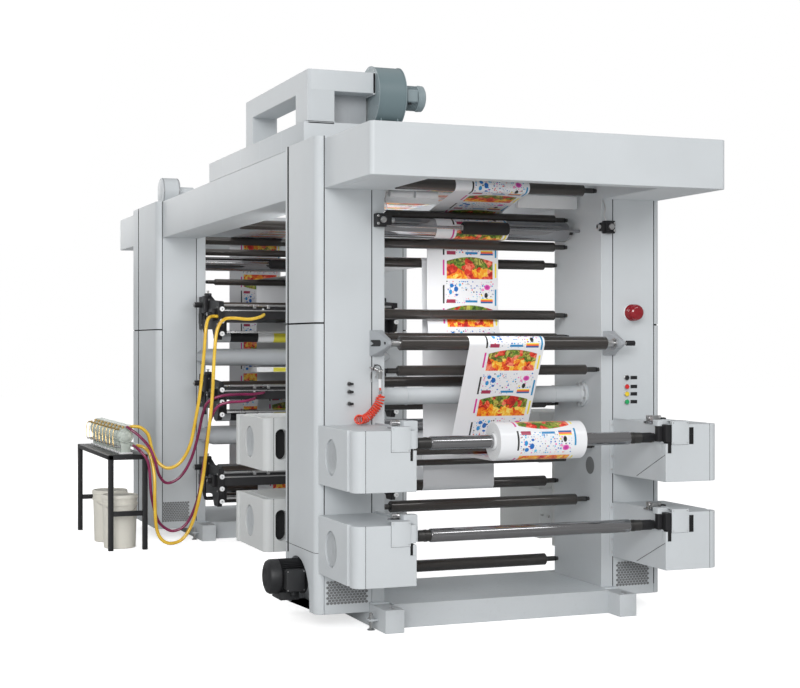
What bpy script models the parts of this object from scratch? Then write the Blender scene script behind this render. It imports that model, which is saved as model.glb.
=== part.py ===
"""Flexographic printing press: a winding frame in front, a printing frame behind it.

Metres, +Z up. The origin is on the floor under the cross beam of the front base, in the
middle of the web. +X is to the right and +Y runs back from the winding side to the printing side.
Every roller's origin is on its own axis, which runs along X.
"""

import math

import bmesh
import bpy
import numpy as np

# Gap that stands between two pieces that touch
GAP = 0.0003

# Column housings
INNER_HALF = 0.734
COLUMN_WIDTH = 0.434
COLUMN_CORNER = 0.053
COLUMN_FOOT = 0.085
COLUMN_TOP = 2.917
COLUMN_SEAM = 1.809
SEAM_WIDTH = 0.005
SEAM_DEPTH = 0.004
CORNER_STRIP = 0.053
INNER_STRIP = 0.082
FRONT_DEPTH = 0.652
AISLE_LENGTH = 3.797
REAR_START = FRONT_DEPTH + AISLE_LENGTH
REAR_DEPTH = 1.051
SIDE_STRIP_FRONT = 0.066
SIDE_STRIP_REAR = 0.285
SIDE_GROOVE = 0.018
SIDE_GROOVE_DEPTH = 0.008
SKIRT_HEIGHT = 0.363
MOTOR_ARCH = 0.243
MOTOR_ARCH_SPRING = 0.147
MOTOR_ARCH_DEPTH = 0.120

# Canopies, beams and hood
CANOPY_OUT = 0.379
CANOPY_HALF = INNER_HALF + CANOPY_OUT
CANOPY_OVERHANG = 0.029
CANOPY_REACH = 0.791
CANOPY_STEP = 0.017
CANOPY_HEIGHT = 0.294
CANOPY_TOP = COLUMN_TOP - CANOPY_STEP
CANOPY_BOTTOM = CANOPY_TOP - CANOPY_HEIGHT
CANOPY_BORDER = 0.100
CANOPY_SKIN = 0.030
CANOPY_CORNER = 0.030
REAR_CANOPY_REACH = 0.910
BEAM_IN = 0.056
BEAM_WIDTH = 0.321
BEAM_INNER = INNER_HALF + BEAM_IN
BEAM_OUTER = BEAM_INNER + BEAM_WIDTH
BEAM_HEIGHT = 0.314
BEAM_BOTTOM = COLUMN_TOP - BEAM_HEIGHT
HOOD_OUT = 0.376
HOOD_HALF = INNER_HALF + HOOD_OUT
HOOD_FRONT = 0.416
HOOD_LENGTH = 2.394
HOOD_HEIGHT = 0.143

# Exhaust duct on the hood and its fan
DUCT_IN = 0.025
DUCT_LEFT = HOOD_HALF - DUCT_IN
DUCT_LEG = 0.176
DUCT_TOP = 0.325
DUCT_RUN_DEPTH = 0.130
DUCT_LENGTH = 1.430
DUCT_REACH = 0.447
DUCT_THICKNESS = 0.250
FAN_RADIUS = 0.200
FAN_WIDTH = 0.190
FAN_AXIS_UP = 0.170
FAN_INLET = 0.085
FAN_MOTOR_RADIUS = 0.062
FAN_MOTOR_LENGTH = 0.170
REAR_FAN_IN = 0.351
REAR_FAN_Y = REAR_START + REAR_FAN_IN
REAR_FAN_EDGE = 0.050
REAR_FAN_LEFT = HOOD_HALF - REAR_FAN_EDGE
REAR_FAN_WIDTH = 0.160
REAR_FAN_RADIUS = 0.130

# Bases
BLOCK_LIP = 0.021
BLOCK_WIDTH = 0.118
BLOCK_INNER = INNER_HALF - BLOCK_LIP
BLOCK_OUTER = BLOCK_INNER + BLOCK_WIDTH
BLOCK_HEIGHT = 0.137
BLOCK_REACH = 0.275
BLOCK_BACK = 0.150
BASE_BEAM_FRONT = 0.126
BASE_BEAM_DEPTH = 0.150
BASE_BEAM_HEIGHT = 0.144
PLATFORM_THICKNESS = 0.020
REAR_BASE_REACH = 0.009
REAR_BASE_START = REAR_START - REAR_BASE_REACH
BOLT_RADIUS = 0.011
BOLT_REACH = 0.055
BOLT_PLATE = 0.012

# Winding arms in front, all four alike
ARM_IN = 0.049
ARM_WIDTH = 0.367
RIGHT_ARM_SLIDE = 0.035
ARM_INNER = INNER_HALF + ARM_IN
ARM_OUTER = ARM_INNER + ARM_WIDTH
ARM_REACH = 0.644
ARM_HEIGHT = 0.344
ARM_CORNER = 0.060
ARM_BOTTOMS = (0.332, 0.859)
DIAL_RADIUS = 0.105
DIAL_DEPTH = 0.014
DIAL_Y = 0.230
ARM_GROOVE_Y = 0.535
ARM_GROOVE_RADIUS = 0.020
CHUCK_NOTCH = (0.039, 0.050)
CHUCK_NOTCH_DROP = 0.088
CHUCK_PLATE = (0.114, 0.142)
CHUCK_PLATE_RISE = 0.022
CHUCK_PLATE_THICKNESS = 0.006
CHUCK_CAP = (0.085, 0.062)
CHUCK_CAP_REACH = 0.026
CHUCK_CAP_RISE = 0.050
LATCH = (0.100, 0.100)
LATCH_IN = 0.028
LATCH_HEIGHT = 0.045

# Unwinding carriers behind the front frame
CHEEK_IN = 0.036
CHEEK_INNER = INNER_HALF + CHEEK_IN
CHEEK_THICKNESS = 0.030
CHEEK_BACK = 1.630
CHEEK_STRAP = 0.110
POD_WIDTH = 0.430
POD_OUTER = CHEEK_INNER + POD_WIDTH
POD_FRONT = 0.980
POD_CORNER = 0.070
POD_END = 0.040

# Reels: the bars that carry the rolls of film
REEL_Y = -0.500
REEL_HEIGHTS = (0.592, 1.119)
UNWIND_Y = 1.450
SHAFT_RADIUS = 0.039
NECK_RADIUS = 0.024
NECK_LENGTH = 0.075
CHUCK_RADIUS = 0.031
CHUCK_LENGTH = 0.060
ROLL_RADIUS = 0.111
ROLL_LEFT = -0.250
ROLL_RIGHT = 0.310
CORE_RADIUS = 0.050

# Web of film
WEB_LEFT = -0.254
WEB_RIGHT = 0.248
WEB_THICKNESS = 0.0012
WEB_CLEARANCE = 0.0012

# Rollers
JOURNAL_RADIUS = 0.017
ROLLER_END_GAP = 0.095
ROLLER_CHAMFER = 0.006
ROLLER_SIDES = 16
NIP_LEFT = -0.096
NIP_RIGHT = 0.217
NIP_RADIUS = 0.0415
NIP_ROD_RADIUS = 0.010
DRIVE_RADIUS = 0.0625
DRIVE_Y = 0.400
DRIVE_DROP = 0.497
DRIVE_Z = COLUMN_TOP - DRIVE_DROP
FRONT_ROLLER_Y = -0.130
FRONT_ROLLER_Z = 1.690
FRONT_ROLLER_RADIUS = 0.0425
BRACKET_IN = 0.028
BRACKET_INNER = INNER_HALF + BRACKET_IN
BRACKET_THICKNESS = 0.030
BRACKET_HEIGHT = 0.170
BRACKET_NOSE = 0.060

# How far the head's rollers lie below the columns' tops, and the rear ones from the rear frame's face
CANOPY_ROLLER_DROP = 0.255
UPPER_GUIDE_DROP = 0.413
DRAW_GUIDE_DROP = 0.592
FEED_GUIDE_DROP = 0.704
DROP_GUIDE_DROP = 1.043
TURNING_DROP = 1.186
REAR_ENTRY_DROP = 0.688
LONG_RUN_DROP = 0.262
REAR_ENTRY_IN = 0.051
REAR_LOWER_IN = 0.071
REAR_RETURN_EDGE = 0.080
LONG_RUN_LEAD = 0.999

# Name, Y, Z and radius of every plain guide roller in the front frame
FRONT_ROLLERS = (
    ("canopy_roller", 0.070, COLUMN_TOP - CANOPY_ROLLER_DROP, 0.037),
    ("upper_guide_roller", 0.470, COLUMN_TOP - UPPER_GUIDE_DROP, 0.032),
    ("draw_guide_roller", 0.475, COLUMN_TOP - DRAW_GUIDE_DROP, 0.0315),
    ("feed_guide_roller", 0.627, COLUMN_TOP - FEED_GUIDE_DROP, 0.032),
    ("drop_guide_roller", 0.473, COLUMN_TOP - DROP_GUIDE_DROP, 0.032),
    ("turning_roller", 0.450, COLUMN_TOP - TURNING_DROP, 0.025),
    ("cross_guide_roller", 0.034, 1.523, 0.032),
    ("middle_guide_roller", 0.605, 1.289, 0.029),
    ("lay_roller", 0.100, 1.035, 0.030),
    ("entry_guide_roller", 0.605, 0.771, 0.035),
    ("lower_guide_roller", 0.167, 0.689, 0.0355),
    ("floor_guide_roller", 0.605, 0.247, 0.0385),
)

# The same for the rear frame
REAR_ROLLERS = (
    ("rear_entry_roller", REAR_START + REAR_ENTRY_IN, COLUMN_TOP - REAR_ENTRY_DROP, 0.027),
    ("rear_lower_roller", REAR_START + REAR_LOWER_IN, 0.330, 0.045),
    ("rear_return_roller", REAR_START + REAR_DEPTH - REAR_RETURN_EDGE, 0.330, 0.045),
    ("rear_top_roller", REAR_START + REAR_DEPTH - REAR_RETURN_EDGE, COLUMN_TOP - LONG_RUN_DROP, 0.037),
)
LONG_RUN_ROLLER = ("long_run_roller", REAR_START - LONG_RUN_LEAD, COLUMN_TOP - LONG_RUN_DROP, 0.037)

# The rear frame's own draw drum with its nip and guide roller, which stand still here
REAR_DRUM_IN = 0.301
REAR_DRUM_DROP = 0.515
REAR_GUIDE_IN = 0.241
REAR_GUIDE_DROP = 0.415
REAR_GUIDE_RADIUS = 0.030

# Cross tube that ties the two front columns, and two plain bars
TIE_Y = 0.250
TIE_DROP = 1.554
TIE_Z = COLUMN_TOP - TIE_DROP
TIE_RADIUS = 0.0535
TIE_FLANGE_RADIUS = 0.0825
TIE_FLANGE_THICKNESS = 0.020
TIE_BAND_RADIUS = 0.057
CABLE_BAR_Y = 0.500
CABLE_BAR_Z = 0.925
CABLE_BAR_RADIUS = 0.020
SHORT_BAR_Y = 0.495
SHORT_BAR_Z = 1.445
SHORT_BAR_RADIUS = 0.033
SHORT_BAR_END = 0.300

# Printing stations on the front face of the rear frame, top to bottom
STATION_HEIGHTS = (2.010, 1.340, 0.620)
STATION_NAMES = ("upper", "middle", "lower")
DECK_IN = 0.018
DECK_INNER = INNER_HALF + DECK_IN
DECK_THICKNESS = 0.040
DECK_REACH = 0.700
DECK_RISE = 0.085
DECK_SHELF_RISE = 0.045
DECK_NOSE_RISE = 0.030
DECK_SHELF = (0.300, 0.420)
DECK_NOSE_DROP = 0.185
DECK_BELLY_DROP = 0.290
DECK_FLOOR_DROP = 0.200
DECK_BELLY = (0.060, 0.170, 0.240)
DECK_BEAM_DEPTH = 0.150
DECK_BEAM_HEIGHT = 0.120
PLATE_RADIUS = 0.080
PLATE_END_GAP = 0.094
PLATE_BODY_HALF = INNER_HALF - PLATE_END_GAP
PLATE_DROP = 0.060
DRYER_DROP = 0.438
DRYER_HALF_HEIGHT = 0.072
DRYER_FRONT = 0.420
DRYER_BACK = 0.060
DRYER_OVERHANG = 0.040
KNOB_RADIUS = 0.020
KNOB_REACH = 0.030

# Drive motor
MOTOR_Y = 0.365
MOTOR_Z = 0.272
MOTOR_RADIUS = 0.107
MOTOR_OUT = 0.204
MOTOR_LEFT = -(INNER_HALF + COLUMN_WIDTH + MOTOR_OUT)
MOTOR_FLANGE = 0.100
MOTOR_FOOT_DROP = 0.135

# Beacon on the right column
BEACON_IN = 0.211
BEACON_X = INNER_HALF + BEACON_IN
BEACON_Z = 1.885
BEACON_RADIUS = 0.052

# Ink stand: table, pumps and pails
TABLE_LEFT = -1.690
TABLE_RIGHT = -1.370
TABLE_LEAD = 0.619
TABLE_LENGTH = 1.550
TABLE_FRONT = REAR_START - TABLE_LEAD
TABLE_BACK = TABLE_FRONT + TABLE_LENGTH
TABLE_HEIGHT = 0.780
TABLE_TUBE = 0.040
TABLE_RAIL = 0.320
PUMP_COUNT = 9
PUMP_RADIUS = 0.055
PUMP_AXIS_UP = 0.150
PUMP_CROSS_RUN = 0.030
PAIL_RADIUS = 0.145
PAIL_HEIGHT = 0.440
PAIL_TAPER = 0.015
PAIL_X = -1.555
PAIL_LEADS = (0.240, 0.690)
PAIL_PLACES = (TABLE_FRONT + PAIL_LEADS[0], TABLE_FRONT + PAIL_LEADS[1])

# Hoses: radius, then the points of each route
YELLOW_RADIUS = 0.014
MAGENTA_RADIUS = 0.012
CURLY_RADIUS = 0.026
UPPER_YELLOW_ROUTE = (
    (-1.499, 3.9047, 1.005), (-1.499, 3.885, 1.005), (-1.470, 3.868, 1.010), (-1.415, 3.866, 0.995),
    (-1.359, 3.860, 0.935), (-1.332, 3.845, 0.814), (-1.289, 3.820, 0.716), (-1.210, 3.790, 0.666),
    (-1.110, 3.780, 0.713), (-1.035, 3.760, 0.851), (-0.996, 3.735, 1.056), (-0.961, 3.710, 1.303),
    (-0.935, 3.690, 1.600), (-0.920, 3.690, 1.800), (-0.893, 3.725, 1.888), (-0.850, 3.775, 1.913),
    (-0.815, 3.790, 1.915), (-0.7923, 3.790, 1.915),
)
LOWER_YELLOW_ROUTE = (
    (-1.439, 3.9047, 0.850), (-1.439, 3.885, 0.850), (-1.400, 3.855, 0.838), (-1.352, 3.838, 0.780),
    (-1.325, 3.790, 0.608), (-1.325, 3.770, 0.405), (-1.315, 3.765, 0.200), (-1.277, 3.760, 0.094),
    (-1.198, 3.755, 0.052), (-1.094, 3.750, 0.090), (-1.011, 3.745, 0.235), (-0.945, 3.725, 0.521),
    (-0.905, 3.690, 0.892), (-0.880, 3.640, 1.221), (-0.860, 3.640, 1.593), (-0.835, 3.645, 1.800),
    (-0.780, 3.640, 1.885), (-0.690, 3.650, 1.898), (-0.560, 3.665, 1.890), (-0.460, 3.700, 1.908),
    (-0.410, 3.750, 1.928), (-0.400, 3.780, 1.930), (-0.400, 3.7987, 1.930),
)
UPPER_MAGENTA_ROUTE = (
    (-1.529, 3.9047, 1.005), (-1.529, 3.885, 1.005), (-1.505, 3.845, 0.985), (-1.440, 3.820, 0.930),
    (-1.365, 3.800, 0.840), (-1.318, 3.792, 0.725), (-1.275, 3.832, 0.605), (-1.205, 3.855, 0.538),
    (-1.101, 3.840, 0.585), (-1.017, 3.815, 0.724), (-0.964, 3.780, 0.921), (-0.936, 3.740, 1.094),
    (-0.900, 3.705, 1.203), (-0.811, 3.680, 1.252), (-0.686, 3.670, 1.268), (-0.537, 3.680, 1.268),
    (-0.430, 3.730, 1.275), (-0.400, 3.775, 1.280), (-0.400, 3.7987, 1.280),
)
LOWER_MAGENTA_ROUTE = (
    (-1.474, 3.9047, 0.850), (-1.474, 3.885, 0.850), (-1.440, 3.818, 0.815), (-1.385, 3.790, 0.740),
    (-1.362, 3.800, 0.640), (-1.340, 3.830, 0.440), (-1.290, 3.850, 0.252), (-1.235, 3.840, 0.177),
    (-1.156, 3.830, 0.144), (-1.052, 3.815, 0.199), (-0.967, 3.790, 0.394), (-0.920, 3.760, 0.683),
    (-0.890, 3.730, 0.972), (-0.857, 3.700, 1.110), (-0.810, 3.675, 1.180), (-0.725, 3.655, 1.205),
    (-0.602, 3.655, 1.212), (-0.510, 3.700, 1.228), (-0.476, 3.770, 1.242), (-0.476, 3.7987, 1.242),
)
AIR_GUN_IN = 0.040
CURLY_X = -(INNER_HALF + AIR_GUN_IN)
CURLY_ROUTE = (
    (CURLY_X, -0.034, 1.3855), (CURLY_X, -0.034, 1.360), (CURLY_X - 0.013, -0.038, 1.327),
    (CURLY_X - 0.046, -0.045, 1.287), (CURLY_X - 0.081, -0.052, 1.256), (CURLY_X - 0.116, -0.062, 1.240),
    (CURLY_X - 0.146, -0.082, 1.239), (CURLY_X - 0.164, -0.116, 1.242),
)
HOSE_END = 0.015
CURLY_STEP = 0.022
AIR_LINE_TOP = 1.480
AIR_LINE_RADIUS = 0.006
AIR_GUN = (0.045, 0.055, 0.075)


def clear_scene():
    """Removes whatever the file already held."""
    for item in list(bpy.data.objects):
        bpy.data.objects.remove(item, do_unlink=True)


def material(name, color, roughness, metallic=0.0):
    """A plain Principled material."""
    found = bpy.data.materials.new(name)
    found.use_nodes = True
    shader = found.node_tree.nodes["Principled BSDF"]
    shader.inputs["Base Color"].default_value = (*color, 1.0)
    shader.inputs["Roughness"].default_value = roughness
    shader.inputs["Metallic"].default_value = metallic
    return found


def make_materials():
    """All the finishes of the press, by name."""
    return {
        "paint": material("pale_grey_paint", (0.56, 0.60, 0.64), 0.45),
        "cream": material("cream_paint", (0.62, 0.62, 0.58), 0.45),
        "dark": material("dark_anodised", (0.035, 0.030, 0.027), 0.35, 0.6),
        "steel": material("bright_steel", (0.55, 0.55, 0.56), 0.22, 1.0),
        "black": material("black_steel", (0.02, 0.02, 0.022), 0.5),
        "rubber": material("black_rubber", (0.015, 0.015, 0.016), 0.8),
        "film": material("white_film", (0.85, 0.85, 0.84), 0.3),
        "red": material("red_lens", (0.60, 0.01, 0.01), 0.2),
        "fan": material("grey_green_paint", (0.22, 0.28, 0.29), 0.5),
        "yellow": material("yellow_hose", (0.75, 0.50, 0.04), 0.4),
        "magenta": material("magenta_hose", (0.22, 0.01, 0.07), 0.4),
        "orange": material("red_coil", (0.80, 0.06, 0.02), 0.4),
        "pail": material("pail_plastic", (0.66, 0.63, 0.56), 0.5),
        "plate": material("plate_cylinder", (0.30, 0.31, 0.33), 0.4, 0.5),
    }


def object_from_rings(name, rings, finish, place=(0.0, 0.0, 0.0)):
    """A closed body lofted through rings of equal count and capped at both ends."""
    mesh = bpy.data.meshes.new(name)
    body = bmesh.new()
    count = len(rings[0])
    layers = [[body.verts.new(point) for point in ring] for ring in rings]
    for low, high in zip(layers, layers[1:]):
        for i in range(count):
            j = (i + 1) % count
            body.faces.new((low[i], low[j], high[j], high[i]))
    body.faces.new(layers[0][::-1])
    body.faces.new(layers[-1])
    bmesh.ops.recalc_face_normals(body, faces=body.faces)
    body.to_mesh(mesh)
    body.free()
    mesh.materials.append(finish)
    made = bpy.data.objects.new(name, mesh)
    made.location = place
    bpy.context.scene.collection.objects.link(made)
    return made


def spread(outline, axis, at):
    """Lays a flat outline in the plane across an axis, at one place along it."""
    if axis == "X":
        return [(at, a, b) for a, b in outline]
    if axis == "Y":
        return [(a, at, b) for a, b in outline]
    return [(a, b, at) for a, b in outline]


def prism(name, outline, axis, low, high, finish):
    """A flat outline carried straight along an axis. Its two numbers are the other two axes, in order."""
    return object_from_rings(name, [spread(outline, axis, low), spread(outline, axis, high)], finish)


def block(name, x, y, z, finish):
    """A square-edged block between pairs of limits."""
    outline = [(x[0], y[0]), (x[1], y[0]), (x[1], y[1]), (x[0], y[1])]
    return prism(name, outline, "Z", z[0], z[1], finish)


def corner_arc(center, radius, start, end, steps=4):
    """Points of an arc between two angles in degrees."""
    angles = np.radians(np.linspace(start, end, steps + 1))
    return [(center[0] + radius * math.cos(a), center[1] + radius * math.sin(a)) for a in angles]


def circle(radius, sides, center=(0.0, 0.0)):
    """Points of a full circle."""
    angles = np.arange(sides) * 2 * math.pi / sides
    return [(center[0] + radius * math.cos(a), center[1] + radius * math.sin(a)) for a in angles]


def turned(name, steps, y, z, finish, sides=ROLLER_SIDES):
    """A body turned about an axis along X. Each step is (x, radius)."""
    rings = [spread(circle(radius, sides), "X", x) for x, radius in steps]
    made = object_from_rings(name, rings, finish, (0.0, y, z))
    made.data.shade_smooth()
    made.data.set_sharp_from_angle(angle=math.radians(35))
    return made


def drum(name, axis, center, radius, low, high, finish, sides=20):
    """A plain cylinder along an axis, for bosses, recesses and bolts."""
    return prism(name, circle(radius, sides, center), axis, low, high, finish)


def boolean(target, others, operation):
    """Joins or cuts with hidden helpers, which stay as editable modifiers."""
    for other in others:
        other.hide_render = True
        other.display_type = "WIRE"
        step = target.modifiers.new(other.name, "BOOLEAN")
        step.operation = operation
        step.solver = "EXACT"
        step.object = other
    return target


def join(target, *others):
    return boolean(target, others, "UNION")


def cut(target, *others):
    return boolean(target, others, "DIFFERENCE")


def side_pair(side, inner, outer):
    """The X limits, low to high, of something between two distances from the middle."""
    return tuple(sorted((side * inner, side * outer)))


def notched(start, end, at, width, depth, inward):
    """One straight side with a small groove in it, from start up to the groove's far lip."""
    a, b = np.array(start), np.array(end)
    along = (b - a) / np.linalg.norm(b - a)
    mouth = a + along * at
    deep = np.array(inward) * depth
    return [
        tuple(mouth - along * width / 2),
        tuple(mouth - along * width / 2 + deep),
        tuple(mouth + along * width / 2 + deep),
        tuple(mouth + along * width / 2),
    ]


def column_outline(side, front, depth, strip_at):
    """Plan of a column housing: rounded outer corners and grooves where its panels meet."""
    inner, outer = INNER_HALF, INNER_HALF + COLUMN_WIDTH
    back, radius = front + depth, COLUMN_CORNER
    points = [(inner, front)]
    edge = ((inner, front), (outer, front))
    points += notched(*edge, INNER_STRIP, SEAM_WIDTH, SEAM_DEPTH, (0, 1))
    points += notched(*edge, COLUMN_WIDTH - CORNER_STRIP, SEAM_WIDTH, SEAM_DEPTH, (0, 1))
    points += corner_arc((outer - radius + SEAM_WIDTH, front + radius), radius - SEAM_WIDTH, -90, 0)
    points[-5:] = corner_arc((outer - radius, front + radius), radius, -85, 0)
    edge = ((outer, front), (outer, back))
    points += notched(*edge, strip_at, SIDE_GROOVE, SIDE_GROOVE_DEPTH, (-1, 0))
    points += corner_arc((outer - radius, back - radius), radius, 0, 90)
    points.append((inner, back))
    return [(side * x, y) for x, y in points]


def shrunk(outline, margin):
    """The same outline drawn in towards its middle by about a margin."""
    points = np.array(outline)
    middle = (points.max(axis=0) + points.min(axis=0)) / 2
    half = (points.max(axis=0) - points.min(axis=0)) / 2
    return [tuple(p) for p in middle + (points - middle) * (1 - margin / half)]


def column(name, side, front, depth, strip_at, finish):
    """A tall housing with a seam round it, cut away where it stands on its base block."""
    plan = column_outline(side, front, depth, strip_at)
    inset = shrunk(plan, SEAM_DEPTH * 0.6)
    half_seam = SEAM_WIDTH / 2
    levels = (
        (COLUMN_FOOT, plan),
        (COLUMN_SEAM - half_seam, plan),
        (COLUMN_SEAM - half_seam, inset),
        (COLUMN_SEAM + half_seam, inset),
        (COLUMN_SEAM + half_seam, plan),
        (COLUMN_TOP, plan),
    )
    made = object_from_rings(name, [spread(ring, "Z", z) for z, ring in levels], finish)
    foot = block(
        name + "_foot_cut",
        side_pair(side, INNER_HALF - 0.1, BLOCK_OUTER + GAP),
        (front - 0.1, front + depth + 0.1),
        (0.0, BASE_BEAM_HEIGHT + GAP),
        finish,
    )
    return cut(made, foot)


def roller_bracket(side, finish):
    """A cast nose on a column's front that carries the front roller between cheeks."""
    half = BRACKET_HEIGHT / 2
    reach = FRONT_ROLLER_Y - BRACKET_NOSE
    outline = [
        (0.02, FRONT_ROLLER_Z - half),
        (0.02, FRONT_ROLLER_Z + half),
        (-0.02, FRONT_ROLLER_Z + half),
        (reach, FRONT_ROLLER_Z + 0.03),
        (reach, FRONT_ROLLER_Z - 0.03),
        (-0.02, FRONT_ROLLER_Z - half),
    ]
    low, high = side_pair(side, BRACKET_INNER, BRACKET_INNER + BRACKET_THICKNESS)
    return prism(f"roller_bracket_{side}", outline, "X", low, high, finish)


def nip_bracket(side, finish):
    """A small block on a column's inner strip, level with the nip."""
    x = side_pair(side, INNER_HALF + 0.006, INNER_HALF + 0.070)
    return block(f"nip_bracket_{side}", x, (-0.055, 0.01), (DRIVE_Z - 0.035, DRIVE_Z + 0.045), finish)


def make_columns(finishes):
    """The four housings, with what is cast or bolted on to each."""
    paint = finishes["paint"]
    front_left = column("front_left_column", -1, 0.0, FRONT_DEPTH, FRONT_DEPTH - SIDE_STRIP_FRONT, paint)
    front_right = column("front_right_column", 1, 0.0, FRONT_DEPTH, FRONT_DEPTH - SIDE_STRIP_FRONT, paint)
    rear_strip = REAR_DEPTH - SIDE_STRIP_REAR
    rear_left = column("rear_left_column", -1, REAR_START, REAR_DEPTH, rear_strip, paint)
    rear_right = column("rear_right_column", 1, REAR_START, REAR_DEPTH, rear_strip, paint)
    outer = INNER_HALF + COLUMN_WIDTH
    arch = [(MOTOR_Y + MOTOR_ARCH, COLUMN_FOOT - 0.05)]
    arch += corner_arc((MOTOR_Y, MOTOR_ARCH_SPRING), MOTOR_ARCH, 0, 180, 12)
    arch.append((MOTOR_Y - MOTOR_ARCH, COLUMN_FOOT - 0.05))
    arch_cut = prism("motor_arch_cut", arch, "X", -outer - 0.02, -outer + MOTOR_ARCH_DEPTH, paint)
    cut(front_left, arch_cut)
    join(front_left, roller_bracket(-1, paint), nip_bracket(-1, paint), short_bar(paint), *air_gun(paint))
    join(front_right, roller_bracket(1, paint), nip_bracket(1, paint), cable_bar(paint))
    join(rear_left, *rear_fan(paint))
    join(rear_right, *rear_draw(finishes))


def short_bar(finish):
    """A dark bar that reaches in from the left column, behind the web."""
    shape = circle(SHORT_BAR_RADIUS, ROLLER_SIDES, (SHORT_BAR_Y, SHORT_BAR_Z))
    return prism("short_bar", shape, "X", -INNER_HALF - 0.02, SHORT_BAR_END, finish)


def air_gun(finish):
    """The air gun on its hook at the column's inner edge, with the thin line down to its curly hose."""
    x, y, z = CURLY_ROUTE[0]
    width, depth, height = AIR_GUN
    body = block("air_gun", (x - width * 0.7, x + width * 0.3), (y - depth / 2, 0.01),
                 (AIR_LINE_TOP, AIR_LINE_TOP + height), finish)
    line = drum("air_line", "Z", (x, y), AIR_LINE_RADIUS, z + GAP, AIR_LINE_TOP + 0.02, finish, 8)
    nut = drum("air_line_nut", "Z", (x, y), AIR_LINE_RADIUS * 2, z + GAP, z + 0.02, finish, 8)
    return body, line, nut


def cable_bar(finish):
    """A thin bar across the opening, on the right column."""
    shape = circle(CABLE_BAR_RADIUS, 10, (CABLE_BAR_Y, CABLE_BAR_Z))
    return prism("cable_bar", shape, "X", -INNER_HALF + GAP, INNER_HALF + 0.02, finish)


def rear_draw(finishes):
    """The rear frame's draw drum, its nip on a thin rod and the guide roller over it, set in the right column."""
    span = (-INNER_HALF + GAP, INNER_HALF + 0.02)
    y, z = REAR_START + REAR_DRUM_IN, COLUMN_TOP - REAR_DRUM_DROP
    drum_body = prism("rear_drum", circle(DRIVE_RADIUS, 20, (y, z)), "X", *span, finishes["steel"])
    place = (REAR_START + REAR_GUIDE_IN, COLUMN_TOP - REAR_GUIDE_DROP)
    guide = prism("rear_guide", circle(REAR_GUIDE_RADIUS, ROLLER_SIDES, place), "X", *span, finishes["dark"])
    place = (y - DRIVE_RADIUS - NIP_RADIUS - WEB_THICKNESS, z)
    rod = prism("rear_nip_rod", circle(NIP_ROD_RADIUS, 10, place), "X", *span, finishes["steel"])
    nip = prism("rear_nip", circle(NIP_RADIUS, 20, place), "X", NIP_LEFT, NIP_RIGHT, finishes["rubber"])
    return drum_body, guide, rod, nip


def rear_fan(finish):
    """A small blower on top of the rear left column: a round casing, its foot and its motor."""
    z = COLUMN_TOP + REAR_FAN_RADIUS - 0.02
    left, right = -REAR_FAN_LEFT, -REAR_FAN_LEFT + REAR_FAN_WIDTH
    casing = drum("rear_fan_casing", "X", (REAR_FAN_Y, z), REAR_FAN_RADIUS, left, right, finish)
    motor = drum("rear_fan_motor", "X", (REAR_FAN_Y, z), 0.055, right - 0.01, right + 0.145, finish, 14)
    return casing, motor


def make_canopies(finishes):
    """Front and rear canopies: boxes open underneath between their borders."""
    paint = finishes["paint"]
    for name, wall, direction, reach in (
        ("front_canopy", -GAP, -1, CANOPY_REACH),
        ("rear_canopy", REAR_START + REAR_DEPTH + GAP, 1, REAR_CANOPY_REACH),
    ):
        far = wall + direction * reach
        c = CANOPY_CORNER
        right = CANOPY_HALF + CANOPY_OVERHANG
        plan = [(right, wall)]
        plan += corner_arc((right - c, far - direction * c), c, 0, direction * 90, 3)
        plan += corner_arc((-CANOPY_HALF + c, far - direction * c), c, direction * 90, direction * 180, 3)
        plan.append((-CANOPY_HALF, wall))
        shell = prism(name, plan, "Z", CANOPY_BOTTOM, CANOPY_TOP, paint)
        mouth = tuple(sorted((wall + direction * 0.02, far - direction * CANOPY_BORDER)))
        opening = block(
            name + "_opening",
            (-INNER_HALF, INNER_HALF),
            mouth,
            (CANOPY_BOTTOM - 0.05, CANOPY_TOP - CANOPY_SKIN),
            paint,
        )
        throat = block(
            name + "_throat",
            (-INNER_HALF, INNER_HALF),
            tuple(sorted((wall - direction * 0.05, wall + direction * 0.05))),
            (CANOPY_BOTTOM - 0.05, CANOPY_TOP - CANOPY_SKIN),
            paint,
        )
        cut(shell, opening, throat)
        if direction < 0:
            lid = block(
                name + "_lid",
                (-INNER_HALF + GAP, INNER_HALF - GAP),
                (wall - 0.05, HOOD_FRONT + 0.05),
                (CANOPY_TOP - CANOPY_SKIN, CANOPY_TOP),
                paint,
            )
            join(shell, lid)


def make_beams(finishes):
    """The two side beams that join the frames, and the housing on top."""
    paint = finishes["paint"]
    for name, side in (("left_side_beam", -1), ("right_side_beam", 1)):
        block(
            name,
            side_pair(side, BEAM_INNER, BEAM_OUTER),
            (FRONT_DEPTH + GAP, REAR_START - GAP),
            (BEAM_BOTTOM, COLUMN_TOP),
            paint,
        )
    bottom = COLUMN_TOP + GAP
    hood_top = bottom + HOOD_HEIGHT
    hood = block(
        "exhaust_hood",
        (-HOOD_HALF, HOOD_HALF),
        (HOOD_FRONT, HOOD_FRONT + HOOD_LENGTH),
        (bottom, hood_top),
        paint,
    )
    join(hood, *exhaust_duct(hood_top, paint))


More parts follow.
